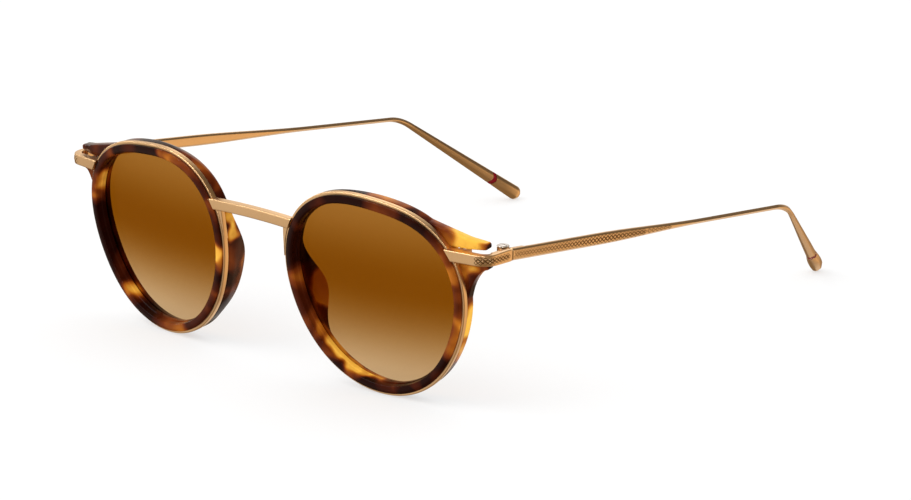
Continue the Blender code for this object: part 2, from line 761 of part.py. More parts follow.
def make_hinge(side_name, side, metal, screw_metal, front_parent, temple_parent):
    """Front leaf with two knuckles, temple leaf with the middle knuckle, and the screw."""
    joint = joint_place()
    joint.x *= side
    half = HINGE_MIDDLE_KNUCKLE / 2
    side_low = half + FIT_GAP
    side_high = side_low + HINGE_SIDE_KNUCKLE
    side_layers = ((-side_high, -side_low), (side_low, side_high))
    hinge_part("hinge_front_" + side_name, side, -HINGE_FRONT_LEAF, side_layers, 0.0, 0.0,
               metal, front_parent, joint)
    hinge_part("hinge_rear_" + side_name, side, HINGE_TEMPLE_LEAF, ((-half, half),),
               TEMPLE_TOE_IN, TEMPLE_FALL, metal, temple_parent, Vector((0, 0, 0)))
    shoulder = side_high + FIT_GAP
    profile = (
        (HINGE_SCREW_RADIUS, -side_high),
        (HINGE_SCREW_RADIUS, shoulder),
        (HINGE_HEAD_RADIUS, shoulder),
        (HINGE_HEAD_RADIUS, shoulder + HINGE_HEAD_HEIGHT * 0.6),
        (HINGE_HEAD_RADIUS * 0.8, shoulder + HINGE_HEAD_HEIGHT),
    )
    screw = turned(profile, SCREW_STEPS, joint)
    add_object("hinge_screw_" + side_name, screw, screw_metal, front_parent)


def floor_height():
    """Lowest point of the rims in level axes."""
    lowest = 0.0
    for angle in range(230, 311):
        for offset, depth in list(band_section(angle)) + list(rear_section(angle)):
            place = outline_point(angle, offset)
            lowest = min(lowest, level_point(1, place.x, place.y, depth).z)
    return lowest


def temple_stations():
    """Path of the left temple from the joint: (distance, place, direction, across) in hinge axes."""
    joint = joint_place()
    floor = floor_height() - joint.z
    bend_length = EAR_BEND_RADIUS * (EAR_DROP - TEMPLE_FALL)
    step = 0.25 * MM
    place = Vector((HALF_WIDTH - joint.x - TEMPLE_THICKNESS / 2, FIT_GAP / 2, 0.0))
    travelled = 0.0
    stations = []
    while travelled < TEMPLE_STRAIGHT + bend_length or place.z > floor + PADDLE_HEIGHT / 2:
        share = min(max((travelled - TEMPLE_STRAIGHT) / bend_length, 0.0), 1.0)
        pitch = TEMPLE_FALL + (EAR_DROP - TEMPLE_FALL) * share
        turned_in = smooth((travelled - TEMPLE_STRAIGHT) / EAR_TURN_LENGTH)
        yaw = TEMPLE_TOE_IN + (EAR_TURN_IN - TEMPLE_TOE_IN) * turned_in
        across = Vector((math.cos(yaw), math.sin(yaw), 0.0))
        level = Vector((-math.sin(yaw), math.cos(yaw), 0.0))
        direction = level * math.cos(pitch) - Vector((0.0, 0.0, math.sin(pitch)))
        stations.append((travelled, place.copy(), direction, across))
        place = place + direction * step
        travelled += step
    overshoot = (floor + PADDLE_HEIGHT / 2 - place.z) / -direction.z
    stations.append((travelled - overshoot, place - direction * overshoot, direction, across))
    return stations


def station_at(stations, distance):
    """The station at or just after a distance along the temple."""
    for station in stations:
        if station[0] >= distance:
            return station
    return stations[-1]


def temple_size(distance, total):
    """Height, thickness and corner cut of the temple at a distance from the joint."""
    narrowing = smooth((distance - TEMPLE_BAND_LENGTH) / TEMPLE_TAPER_LENGTH)
    height = TEMPLE_HEIGHT + (TEMPLE_ROD - TEMPLE_HEIGHT) * narrowing
    thickness = TEMPLE_THICKNESS + (TEMPLE_ROD - TEMPLE_THICKNESS) * narrowing
    corner = END_ROUND + (TEMPLE_ROD * 0.28 - END_ROUND) * narrowing
    widening = (distance - TEMPLE_STRAIGHT) / (total - TEMPLE_STRAIGHT)
    widening = min(max(widening, 0.0), 1.0)
    height += (PADDLE_HEIGHT - TEMPLE_ROD) * widening
    thickness += (PADDLE_THICKNESS - TEMPLE_ROD) * smooth(widening)
    corner += (PADDLE_BEVEL - TEMPLE_ROD * 0.28) * smooth(widening)
    return height, thickness, corner


def temple_ring(station, side, height, thickness, corner, forward=0.0):
    """Eight points of the temple's section at a station, moved forward along it if asked."""
    _, place, direction, across = station
    upward = across.cross(direction)
    if upward.z < 0:
        upward = -upward
    centre = place + direction * forward
    a, b = thickness / 2, height / 2
    corners = ((a, b - corner), (a, corner - b), (a - corner, -b), (corner - a, -b),
               (-a, corner - b), (-a, b - corner), (corner - a, b), (a - corner, b))
    points = []
    for x, z in corners:
        point = centre + across * x + upward * z
        points.append(Vector((side * point.x, point.y, point.z)))
    return points


def distances(start, end, spacing):
    """Evenly spread distances from start to end, about the given spacing apart."""
    count = max(1, round((end - start) / spacing))
    return [start + (end - start) * index / count for index in range(count + 1)]


def make_temple(side_name, side, gold, crimson, parent):
    """Temple with its tenon, the collar on it, and the tip that takes the tenon's end."""
    stations = temple_stations()
    total = stations[-1][0]
    ring_start = total - TIP_LENGTH - TIP_RING_WIDTH + PADDLE_HEIGHT / 2
    ring_end = ring_start + TIP_RING_WIDTH
    bend_end = TEMPLE_STRAIGHT + EAR_BEND_RADIUS * (EAR_DROP - TEMPLE_FALL)

    def section(distance, grow=0.0):
        height, thickness, corner = temple_size(distance, total)
        return temple_ring(station_at(stations, distance), side, height + grow, thickness + grow, corner)

    def tenon(distance, grow=0.0):
        height, thickness = TENON_HEIGHT + grow, TENON_THICKNESS + grow
        return temple_ring(station_at(stations, distance), side, height, thickness, TENON_THICKNESS / 4)

    shoulder = ring_start - FIT_GAP
    marks = distances(0.0, TEMPLE_BAND_LENGTH, 12 * MM)
    marks += distances(TEMPLE_BAND_LENGTH, TEMPLE_STRAIGHT, 6 * MM)[1:]
    marks += distances(TEMPLE_STRAIGHT, bend_end, 2 * MM)[1:]
    marks += distances(bend_end, shoulder, 3 * MM)[1:]
    sections = [section(mark) for mark in marks]
    heading = stations[0][2]
    for point in sections[0]:
        slide = (FIT_GAP / 2 - point.y) / heading.y
        point += Vector((side * heading.x, heading.y, heading.z)) * slide
    tenon_end = ring_end + TENON_LENGTH
    sections += [tenon(shoulder), tenon(ring_end), tenon(tenon_end)]
    add_object("temple_" + side_name, skin(sections, closed=False), gold, parent)

    around = []
    outer_rows = (section(ring_start, FIT_GAP), section(ring_end, FIT_GAP))
    inner_rows = (tenon(ring_end, 2 * FIT_GAP), tenon(ring_start, 2 * FIT_GAP))
    for corner in range(8):
        around.append([row[corner] for row in outer_rows + inner_rows])
    add_object("tip_ring_" + side_name, skin(around, closed=True), crimson, parent)

    tip_start = ring_end + FIT_GAP
    sections = []
    for mark in distances(tip_start, total, 1.5 * MM):
        height, thickness, corner = temple_size(mark, total)
        thickness += TIP_SWELL * math.sin(math.pi * 0.75 * (mark - tip_start) / (total - tip_start))
        sections.append(temple_ring(station_at(stations, mark), side, height, thickness, corner))
    radius = height / 2
    for turn in (28.0, 52.0, 74.0):
        shrink = math.cos(math.radians(turn))
        reach = radius * math.sin(math.radians(turn))
        sizes = (height * shrink, thickness * shrink, corner * shrink)
        sections.append(temple_ring(stations[-1], side, *sizes, reach))
    tip = add_object("temple_tip_" + side_name, skin(sections, closed=False), gold, parent)
    marks = [tip_start - TIP_RING_WIDTH / 2]
    marks += distances(tip_start, tenon_end + 2 * FIT_GAP, 3 * MM)
    socket_rows = [tenon(mark, 2 * FIT_GAP) for mark in marks]
    boolean(tip, add_object("socket", skin(socket_rows, closed=False), None, parent), "DIFFERENCE")


def stand_on_origin(level):
    """Moves everything so that the origin lies on the floor, midway from front to back."""
    bpy.context.view_layer.update()
    corners = [
        item.matrix_world @ vertex.co
        for item in bpy.data.objects if item.type == "MESH"
        for vertex in item.data.vertices
    ]
    depths = [corner.y for corner in corners]
    level.location.y = -(min(depths) + max(depths)) / 2
    level.location.z = -min(corner.z for corner in corners)


def main():
    clear_scene()
    tortoise = make_material("tortoise_acetate", (0.115, 0.033, 0.008), 0.18, 0.0)
    gold = make_material("champagne_gold", (0.546, 0.318, 0.123), 0.36, 1.0)
    steel = make_material("screw_steel", (0.55, 0.53, 0.5), 0.3, 1.0)
    crimson = make_material("crimson_enamel", (0.3, 0.006, 0.02), 0.25, 0.0)
    brown_lens = make_material("brown_lens", (0.3, 0.13, 0.025), 0.03, 0.0, alpha=0.75)

    joint = joint_place()
    level = add_empty("level_axes")
    front = add_empty("front_axes", parent=level, rotation=(FRONT_TILT, 0, 0))
    make_bridge("bridge", gold, front)
    for side_name, side in SIDES:
        eye = add_empty("eye_axes_" + side_name, front, (side * EYE_X, 0, 0), (0, 0, side * FACE_WRAP))
        rim_piece("front_ring_" + side_name, side, ring_section, tortoise, eye)
        rim_piece("rim_band_" + side_name, side, band_section, gold, eye, split_angle=END_ANGLE)
        make_rear_rim("rear_rim_" + side_name, side, tortoise, eye)
        make_lens("lens_" + side_name, side, brown_lens, eye)
        make_lock(side, "rim_lock_" + side_name, "lock_screw_" + side_name, gold, steel, eye)
        make_end_piece("end_piece_" + side_name, side, gold, level)
        hinge = add_empty("hinge_axis_" + side_name, level, (side * joint.x, joint.y, joint.z))
        make_hinge(side_name, side, gold, steel, level, hinge)
        make_temple(side_name, side, gold, crimson, hinge)
    stand_on_origin(level)


main()
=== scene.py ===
"""Looks of the folding sunglasses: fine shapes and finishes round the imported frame.

The file is laid out as an add-on and is run as a script. Lengths are in metres and shared with the
part's source by name. The front faces -Y, the wearer's left is +X and the floor is at Z = 0.
Each eye has its own frame: u runs outward to the temple, v upward, and depth runs backward from
the face of the front ring. An outline angle is 0 at the temple, 90 at the top and 180 at the nose.
"""

import json
import math

import bmesh
import bpy
from mathutils import Matrix, Vector


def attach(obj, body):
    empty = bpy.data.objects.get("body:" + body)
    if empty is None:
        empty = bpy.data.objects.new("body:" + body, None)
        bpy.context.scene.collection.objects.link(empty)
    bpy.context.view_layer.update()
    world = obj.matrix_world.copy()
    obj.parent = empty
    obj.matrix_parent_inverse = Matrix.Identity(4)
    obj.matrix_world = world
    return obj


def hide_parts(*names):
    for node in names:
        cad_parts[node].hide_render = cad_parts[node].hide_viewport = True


bl_info = {
    "name": "Folding sunglasses",
    "version": (1, 0, 0),
    "blender": (4, 5, 0),
    "location": "View3D > Sidebar > Sunglasses",
    "description": "Builds the acetate, metal and lenses of a pair of folding sunglasses",
    "category": "Add Mesh",
}

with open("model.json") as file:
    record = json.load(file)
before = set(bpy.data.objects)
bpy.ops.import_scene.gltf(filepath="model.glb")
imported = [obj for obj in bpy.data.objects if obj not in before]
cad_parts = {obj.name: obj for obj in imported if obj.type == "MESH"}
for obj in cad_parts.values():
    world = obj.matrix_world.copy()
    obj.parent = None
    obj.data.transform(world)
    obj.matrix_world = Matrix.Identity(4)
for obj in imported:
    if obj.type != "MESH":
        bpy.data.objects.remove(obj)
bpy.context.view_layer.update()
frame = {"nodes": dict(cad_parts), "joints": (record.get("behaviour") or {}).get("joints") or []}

MM = 0.001
SIDES = (("left", 1), ("right", -1))

# Sight openings and how the two eyes stand
LENS_WIDTH = 44.0 * MM
LENS_HEIGHT = 42.0 * MM
BRIDGE_SPAN = 24.2 * MM
FACE_WRAP = math.radians(5.8)
FRONT_TILT = math.radians(6.5)
OUTLINE_WAVES = ((2, 0.021, -0.019), (3, 0.0075, 0.044), (4, -0.014, 0.0055))
FIT_GAP = 0.1 * MM

# Front ring; its step is a share of the wall's depth, its crest a share of the face's width
RING_FACE = 2.1 * MM
RING_SIDE = 0.72 * MM
RING_SLEEVE = 1.1 * MM
RING_INNER_DRAFT = 0.3 * MM
RING_STEP_SHARE = 0.55
RING_STEP_RISE = 0.3 * MM
RING_CREST_SHARE = 0.4
RING_FACE_STEPS = 9

# Rim band
BAND_DEPTH = 1.33 * MM
BAND_PROUD = 0.4 * MM
BAND_SPLIT = 0.2 * MM

# Lens
LENS_SEAT_DEPTH = 2.9 * MM
LENS_THICKNESS = 1.5 * MM
LENS_DOME = 1.9 * MM
LENS_FLAT_EDGE = 1.5 * MM

# Heights above the lens's middle, as shares of its height, where its tint starts to change and ends
LENS_FADE_UP = (0.10, 0.52)
LENS_FADE_DOWN = (0.06, -0.56)

# Rear rim, its nose pad and its two-lobed wing
REAR_INSET = 0.15 * MM
REAR_LIP = 0.5 * MM
REAR_LIP_OFFSET = 0.1 * MM
REAR_BACK_BEVEL = 0.8 * MM
REAR_BROW_BEVEL = 0.9 * MM
REAR_BROW_ANGLES = (80.0, 116.0, 146.0)
PAD_REACH = 4.6 * MM
PAD_LEAN = 2.25 * MM
PAD_EDGE = 1.0 * MM
PAD_SWELL = 0.35 * MM
PAD_ANGLES = (152.0, 192.0, 229.0)
WING_REACH = 7.6 * MM
WING_UPPER_LOBE = 1.5 * MM
WING_LOWER_LOBE = 1.0 * MM
WING_TOP_SLOPE = 0.235
WING_SWEEP = 0.9 * MM
WING_INSET = 0.15 * MM
WING_ROOT_ANGLE = -10.0
WING_HOLLOW = 4.3 * MM
WING_HOLLOW_DROP = 1.3 * MM
SLOT_ROOM = 0.55 * MM

# Bridge bar and its gusset webs, which reach a little above the bar's middle
BRIDGE_ANGLE = 150.0
BRIDGE_HEIGHT = 2.45 * MM
BRIDGE_DEPTH = 2.0 * MM
BRIDGE_ARCH = 0.3 * MM
GUSSET_SWEEP = 20.0
GUSSET_TOP_WIDTH = 2.0 * MM
GUSSET_END_WIDTH = 0.45 * MM
GUSSET_DEPTH = 1.1 * MM
GUSSET_OVERLAP = 0.04
GUSSET_TAPER = 1.9
GUSSET_TIP_WIDTH = GUSSET_END_WIDTH * 0.4

# End pieces
END_ANGLE = 30.3
END_START_HEIGHT = 2.6 * MM
END_HEIGHT = 2.45 * MM
END_DEPTH = 2.2 * MM
END_HEADING = math.radians(10.0)
END_BEND_RADIUS = 4.0 * MM
END_SETBACK = 10.2 * MM
END_REACH = 9.2 * MM

# Hinge
HINGE_RADIUS = 1.35 * MM
HINGE_SIDE_KNUCKLE = 0.65 * MM
HINGE_MIDDLE_KNUCKLE = 1.2 * MM
HINGE_FRONT_LEAF = 3.1 * MM
HINGE_TEMPLE_LEAF = 4.2 * MM
HINGE_LEAF_THICKNESS = 0.9 * MM
HINGE_LEAF_HEIGHT = 2.2 * MM
HINGE_SCREW_RADIUS = 0.5 * MM
HINGE_HEAD_RADIUS = 1.4 * MM
HINGE_HEAD_HEIGHT = 0.45 * MM
SCREW_SLOT_WIDTH = 0.32 * MM
SCREW_SLOT_DEPTH = 0.28 * MM

# Temples
TEMPLE_HEIGHT = 2.75 * MM
TEMPLE_THICKNESS = 1.35 * MM
TEMPLE_ROD = 1.15 * MM
TEMPLE_BAND_LENGTH = 30.0 * MM
TEMPLE_TAPER_LENGTH = 42.0 * MM
TEMPLE_STRAIGHT = 101.0 * MM
TEMPLE_FALL = math.radians(6.0)
TEMPLE_TOE_IN = math.radians(1.5)
EAR_BEND_RADIUS = 16.0 * MM
EAR_DROP = math.radians(35.0)
EAR_TURN_IN = math.radians(22.5)
EAR_TURN_LENGTH = 12.0 * MM
PADDLE_HEIGHT = 3.7 * MM
PADDLE_THICKNESS = 2.5 * MM
PADDLE_BEVEL = 0.62 * MM
TIP_LENGTH = 9.5 * MM
TIP_SWELL = 0.7 * MM
TIP_RING_WIDTH = 1.2 * MM
JOINT_CHAMFER = 0.24 * MM
TEMPLE_CORNER = 0.45 * MM
ROD_CORNER = TEMPLE_ROD * 0.48
PADDLE_CORNER = PADDLE_BEVEL * 1.6
INNER_BOW_SHARE = 0.4

# Engraving: what the guide keeps for each column, half rows of the lattice, its reach over the
# temple's rounded corners, the room below which one chain of diamonds is left, the height of that
# chain as a share of the room, the slack in the room, and the fill and stretch on the end piece
LATTICE_FIELDS = ("along", "facing", "pitch", "row", "fill", "room")
LATTICE_HALF_ROWS = 3
CORNER_MARGIN = 0.14 * MM
CHAIN_ROOM = 0.74 * MM
CHAIN_SHARE = 1.8
ROOM_SLACK = 1.01
END_FILL = 1.159
END_STRETCH = (0.40, 0.96)

# Derived places, as in the part's source
EYE_X = (LENS_WIDTH + BRIDGE_SPAN) / 2
BAND_OFFSET = RING_FACE + BAND_PROUD
BAND_START = RING_SIDE + FIT_GAP
BAND_END = BAND_START + BAND_DEPTH
BAND_INNER = RING_SLEEVE + FIT_GAP
REAR_OFFSET = BAND_OFFSET - REAR_INSET
REAR_FRONT = BAND_END + FIT_GAP
REAR_LIP_DEPTH = LENS_SEAT_DEPTH + LENS_THICKNESS + FIT_GAP
REAR_BACK = REAR_LIP_DEPTH + REAR_LIP
WALL_GAP_RING = RING_FACE + FIT_GAP
WALL_GAP_BAND = BAND_OFFSET + FIT_GAP
HALF_WIDTH = EYE_X + LENS_WIDTH / 2 + END_REACH
HINGE_X = HALF_WIDTH - TEMPLE_THICKNESS - FIT_GAP - HINGE_RADIUS
WING_TIP_U = LENS_WIDTH / 2 + WING_REACH

# Camera of the studio view: where it stands, its picture axes and its lens
CAMERA_PLACE = Vector((0.5399, -0.626923, 0.253868))
CAMERA_RIGHT = Vector((0.7532, 0.6578, 0.0083))
CAMERA_DOWN = Vector((0.1908, -0.2064, -0.9597))
CAMERA_FORWARD = Vector((-0.6295, 0.7244, -0.2809))
CAMERA_LENS = 140.76

# Lamp: its place, its size and what it faces
LAMP_PLACE = (-0.5, -0.9, 1.1)
LAMP_SIZE = 1.0
LAMP_AIM = (0.0, 0.0, 0.02)

# Pools of light that polished faces mirror: direction, cosines at which a pool begins and is full,
# and strength. The warm pool and the dark one, which takes most of the dim light away, are apart.
LIGHT_POOLS = (
    ((-0.6, -0.78, -0.14), 0.6, 0.95, 0.50),
    ((-0.63, 0.55, 0.40), 0.55, 0.92, 0.52),
    ((-0.165, 0.69, -0.705), 0.955, 0.985, 0.8),
    ((-0.50, 0.69, 0.52), 0.975, 0.995, 1.2),
)
WARM_POOL = ((0.63, 0.72, -0.28), 0.7, 0.97, 0.75)
DARK_POOL = ((0.27, 0.72, 0.62), 0.75, 0.97)
DARK_POOL_SHARE = 0.8
WARM_COLOUR = (1.0, 0.72, 0.44, 1.0)

# Arch of light above the front: a narrow ring of directions round an axis, its upper half only
ARCH_AXIS = Vector((0.361, 0.917, 0.172))
ARCH_COSINE = -0.345
ARCH_FULL = 0.02
ARCH_END = 0.04
ARCH_HORIZON = ((0.0, 0.0, 1.0), -0.1, 0.1, 1.0)

# Acetate: how far its pattern sways, the contrast of its blotches, the core and the edge of a patch
# as shares of its radius, and the width, level and depth of its streaks
ACETATE_SWAY = 4.0 * MM
BLOTCH_CONTRAST = 0.9
PATCH_CORE = 0.3
PATCH_EDGE = 1.1
STREAK_WIDTH = 1.6 * MM
STREAK_LEVEL = 0.4
STREAK_DEPTH = 0.3

# Satin metal: contrast of its specks and clouds, width of a cloud, and what a speck changes in
# roughness and height
SPECK_CONTRAST = 1.1
CLOUD_CONTRAST = 0.5
CLOUD_WIDTH = 9.0 * MM
SPECK_GLOSS = 0.12
SPECK_HEIGHT = 0.02 * MM

# Tortoise patches of each side: outline angle, offset, depth and radius (millimetres), lift of the tone
PATCHES = {
    "left": (
        (163, 1.1, 0.6, 7.0, -0.30), (133, 1.1, 0.6, 7.0, -0.30), (107, 1.1, 0.6, 7.0, -0.26),
        (80, 1.0, 0.6, 4.0, -0.02), (56, 1.0, 0.6, 5.5, -0.30), (34, 0.6, 0.8, 4.2, 0.08),
        (20, 0.4, 0.8, 3.6, 0.22), (2, 1.1, 0.6, 5.0, 0.12), (342, 1.1, 0.6, 5.0, -0.02),
        (318, 1.1, 0.6, 6.0, -0.14), (288, 1.3, 0.4, 3.6, -0.28), (262, 1.4, 0.4, 3.2, -0.32),
        (240, 1.8, 0.2, 3.2, -0.30), (228, -0.8, 2.8, 3.2, 0.36), (237, -0.8, 2.8, 3.2, 0.44),
        (246, -0.8, 2.8, 3.2, 0.44), (255, -0.8, 2.8, 3.2, 0.38), (265, -0.8, 2.8, 3.2, 0.30),
        (216, -0.8, 2.6, 3.4, 0.24), (194, 1.1, 0.6, 5.4, -0.26), (108, 2.4, 4.0, 8.0, -0.26),
        (72, 2.4, 4.0, 4.5, 0.08), (52, 2.4, 4.0, 4.5, 0.16), (41, 3.4, 4.4, 4.0, 0.04),
        (29.5, 7.4, 4.8, 3.8, 0.50), (33, 5.6, 4.6, 4.6, 0.46), (26.5, 11.4, 5.6, 1.8, -0.55),
        (20, 4.6, 4.6, 3.2, 0.36), (17, 7.6, 5.0, 2.6, 0.16), (19.2, 9.6, 5.4, 1.8, -0.55),
        (9, 3.4, 4.2, 2.2, -0.20), (352, 2.4, 4.2, 5.2, 0.50), (330, 2.4, 4.2, 4.2, 0.16),
        (298, 2.4, 4.2, 7.0, -0.20), (195, -1.8, 8.4, 5.4, 1.10), (168, 0.6, 5.4, 4.0, -0.30),
    ),
    "right": (
        (86, 1.1, 0.6, 6.5, -0.30), (62, 1.3, 0.6, 5.0, -0.24), (40, 1.3, 0.6, 5.0, -0.08),
        (20, 1.5, 0.4, 4.0, -0.08), (24, -0.7, 2.4, 4.2, 0.36), (358, 1.5, 0.4, 6.0, -0.28),
        (2, -0.2, 2.4, 3.0, -0.16), (336, 1.5, 0.4, 6.0, -0.28), (318, 1.8, 0.2, 5.0, -0.28),
        (309, -0.9, 2.6, 3.4, 0.40), (290, 1.4, 0.4, 5.0, -0.28), (262, 1.2, 0.6, 4.5, 0.02),
        (236, 1.2, 0.6, 4.5, 0.12), (212, 1.4, 0.5, 4.5, -0.16), (196, 1.6, 0.6, 3.6, -0.20),
        (178, 0.0, 0.8, 3.2, 0.36), (158, 1.6, 0.6, 4.5, -0.12), (138, 1.4, 0.6, 5.0, -0.16),
        (122, 1.2, 0.6, 3.5, -0.04), (106, 1.0, 0.6, 3.6, 0.12), (100, 2.4, 4.2, 7.0, -0.22),
        (130, 2.4, 4.2, 4.0, 0.10), (150, 2.4, 4.2, 4.0, -0.22), (158, 2.2, 4.0, 3.0, 0.52),
        (167, 2.0, 4.0, 3.0, 0.56), (183, 1.6, 6.4, 3.0, -0.05), (197, 2.0, 5.2, 4.5, -0.14),
        (225, 2.4, 4.2, 7.0, -0.30), (27, 8.4, 4.8, 4.0, -0.24), (30, 5.0, 4.4, 3.0, 0.10),
    ),
}


def length(name, description, millimetres):
    """A setting for a length."""
    return bpy.props.FloatProperty(
        name=name, description=description, default=millimetres * MM, unit="LENGTH")


def share_of(name, description, default):
    """A setting between 0 and 1."""
    return bpy.props.FloatProperty(
        name=name, description=description, default=default, subtype="FACTOR")


def tint(name, description, default):
    """A setting for a colour."""
    return bpy.props.FloatVectorProperty(
        name=name, description=description, default=default, subtype="COLOR")


class RimSizes(bpy.types.PropertyGroup):
    """Fineness and edge rounding of the rims."""

    outline_steps: bpy.props.IntProperty(
        name="Outline steps", description="Number of steps round each eye", default=288, min=72)
    ring_lip_round: length("Ring lip rounding", "Reach of the rounding at the ring's inner lip", 0.24)
    ring_crown: length("Ring crown", "How far the ring's face falls away toward its outer edge", 0.38)
    ring_inset: length("Ring inset", "How far the polished ring stops short of its full width", 0.2)
    ring_edge_round: length("Ring edge rounding", "Reach of the rounding at the ring's outer edge", 0.2)
    lens_edge: length("Lens edge", "Thickness of the lens at its edge", 0.4)
    band_round: length("Band rounding", "Radius of the rim band's corners", 0.26)
    rear_round: length("Rear edge rounding", "Reach of the rounding at the rear rim's edges", 0.42)
    wing_round: length("Wing rounding", "Rounding of the wing's edges", 0.36)


class WireSizes(bpy.types.PropertyGroup):
    """Edge rounding of the bridge, end pieces and temples."""

    bar_round: length("Bar rounding", "Reach of the rounding along the bridge and end pieces", 0.42)
    temple_spacing: length("Temple spacing", "Distance between the temple's cross-sections", 0.6)
    ring_bow: length("Tip ring bow", "How far the tip ring bows toward the tip on the flats", 1.5)


class EngravingSizes(bpy.types.PropertyGroup):
    """Sizes of the diamond lattice on the end pieces and temples, which grows toward the back."""

    first_pitch: length("First pitch", "Distance between diamonds at the joint", 1.05)
    last_pitch: length("Last pitch", "Distance between diamonds at the lattice's far end", 1.6)
    first_row: length("First row", "Height of a diamond at the joint", 0.88)
    last_row: length("Last row", "Height of a diamond at the lattice's far end", 1.15)
    first_fill: share_of("First fill", "Share of its cell that a diamond fills at the joint", 0.90)
    last_fill: share_of("Last fill", "Share of its cell that a diamond fills at the far end", 0.66)
    relief: length("Relief", "How far a diamond stands out of its grooves", 0.06)
    reach: length("Reach", "How far the lattice runs back along the temple", 57.0)


class AcetateLook(bpy.types.PropertyGroup):
    """Colours of the tortoise acetate."""

    dark: tint("Dark", "Colour of the darkest blotches", (0.0100, 0.0012, 0.0006))
    brown: tint("Brown", "Colour round the darkest blotches", (0.050, 0.0070, 0.0016))
    russet: tint("Russet", "Colour of the usual ground", (0.16, 0.030, 0.0042))
    amber: tint("Amber", "Colour of the lighter streaks", (0.44, 0.135, 0.011))
    honey: tint("Honey", "Colour of the clearest places", (0.86, 0.46, 0.060))
    ground: share_of("Ground", "Tone between dark (0) and honey (1) where no patch lies", 0.405)
    blotch_size: length("Blotch size", "Width of a usual blotch", 9.0)
    roughness: share_of("Roughness", "Roughness of the polished acetate", 0.07)
    # Painted glow: the acetate's clear places emit their own colour at this strength, in place of light
    # passing through them.
    glow: share_of("Glow", "Light that the clear places pass on", 0.16)


class MetalLook(bpy.types.PropertyGroup):
    """Colours and grain of the satin metal, the painted shade of the engraving's grooves, and the
    colours of the screws and enamel rings.
    """

    colour: tint("Colour", "Colour of the satin metal", (0.94, 0.65, 0.37))
    shade: tint("Shade", "Colour of the darker specks of the grain", (0.76, 0.50, 0.26))
    # Painted shade: the grooves of the engraving get this dark colour in place of the shade in their
    # cut.
    painted_groove_colour: tint("Recess", "Colour of the grooves of the engraving", (0.14, 0.064, 0.021))
    roughness: share_of("Roughness", "Roughness of the blasted metal", 0.33)
    grain: length("Grain", "Width of a grain of the blasted metal", 0.16)
    steel: tint("Steel", "Colour of the screws", (0.95, 0.93, 0.90))
    steel_shade: tint("Steel shade", "Colour of the screws' darker specks", (0.70, 0.67, 0.64))
    enamel: tint("Enamel", "Colour of the enamel rings", (0.23, 0.003, 0.008))
    enamel_shade: tint("Enamel shade", "Colour of the enamel's darker clouds", (0.13, 0.002, 0.004))


class LensLook(bpy.types.PropertyGroup):
    """Tints of the gradient lens, each for one of its two faces."""

    upper: tint("Upper", "Tint of one face at the top", (0.585, 0.375, 0.150))
    middle: tint("Middle", "Tint of one face at its darkest", (0.462, 0.250, 0.040))
    lower: tint("Lower", "Tint of one face at the bottom", (0.795, 0.655, 0.475))
    sheen: share_of("Sheen", "Share of the mirror light that the coating leaves", 0.03)


class StageLook(bpy.types.PropertyGroup):
    """Floor, lamp and studio."""

    floor: tint("Floor", "Colour of the floor", (0.95, 0.95, 0.95))
    sky: bpy.props.FloatProperty(
        name="Sky", description="Strength of the even light from all round", default=0.98)
    key: bpy.props.FloatProperty(
        name="Key", description="Power of the large lamp in front of the wearer's right side",
        default=7.0, unit="POWER")
    shadow: share_of("Shadow", "Strength of the shadows on the floor", 0.42)
    dim: share_of("Dim", "What polished faces mirror where no light stands", 0.28)
    arch: bpy.props.FloatProperty(
        name="Arch", description="Strength of the narrow arch of light that rounded edges mirror",
        default=9.0)


# Shape of the outline and the eyes, as in the part's source


def smooth(x):
    """0 below 0, 1 above 1, and an even cosine ramp between."""
    x = min(max(x, 0.0), 1.0)
    return 0.5 - 0.5 * math.cos(math.pi * x)


def bump(angle, angles):
    """Rises from the first of three angles to the second and falls to the third."""
    start, peak, end = angles
    if angle <= peak:
        return smooth((angle - start) / (peak - start))
    return smooth((end - angle) / (end - peak))


def raw_outline(angle):
    """Outline of the opening before it is scaled to its width and height."""
    turn = math.radians(angle)
    radius = 1.0
    for order, cosine, sine in OUTLINE_WAVES:
        radius += cosine * math.cos(order * turn) + sine * math.sin(order * turn)
    return radius * math.cos(turn), radius * math.sin(turn)


RAW_POINTS = [raw_outline(angle) for angle in range(360)]
RAW_LEFT = min(point[0] for point in RAW_POINTS)
RAW_RIGHT = max(point[0] for point in RAW_POINTS)
RAW_LOW = min(point[1] for point in RAW_POINTS)
RAW_HIGH = max(point[1] for point in RAW_POINTS)


def opening_point(angle):
    """Point (u, v) on the edge of the sight opening."""
    u, v = raw_outline(angle)
    u = (u - (RAW_LEFT + RAW_RIGHT) / 2) / (RAW_RIGHT - RAW_LEFT) * LENS_WIDTH
    v = (v - (RAW_LOW + RAW_HIGH) / 2) / (RAW_HIGH - RAW_LOW) * LENS_HEIGHT
    return Vector((u, v))


def outline_point(angle, offset):
    """Point (u, v) at an outward offset from the edge of the sight opening."""
    along = opening_point(angle + 0.5) - opening_point(angle - 0.5)
    outward = Vector((along.y, -along.x)).normalized()
    return opening_point(angle) + outward * offset


def wall_u(v, offset, inner_side=False):
    """The u at which the offset outline passes the height v, on the temple or the nose side."""
    low, high = (90.0, 270.0) if inner_side else (-90.0, 90.0)
    rising = not inner_side
    for _ in range(40):
        middle = (low + high) / 2
        if (outline_point(middle, offset).y < v) == rising:
            low = middle
        else:
            high = middle
    return outline_point(low, offset).x


FRONT_TURN = Matrix.Rotation(FRONT_TILT, 4, "X")


def front_point(side, u, v, depth):
    """A place in the eye's frame, in the axes of the front."""
    eye = Matrix.Translation((side * EYE_X, 0, 0)) @ Matrix.Rotation(side * FACE_WRAP, 4, "Z")
    return eye @ Vector((side * u, depth, v))


def level_point(side, u, v, depth):
    """A place in the eye's frame, in level axes about the middle of the front."""
    return FRONT_TURN @ front_point(side, u, v, depth)


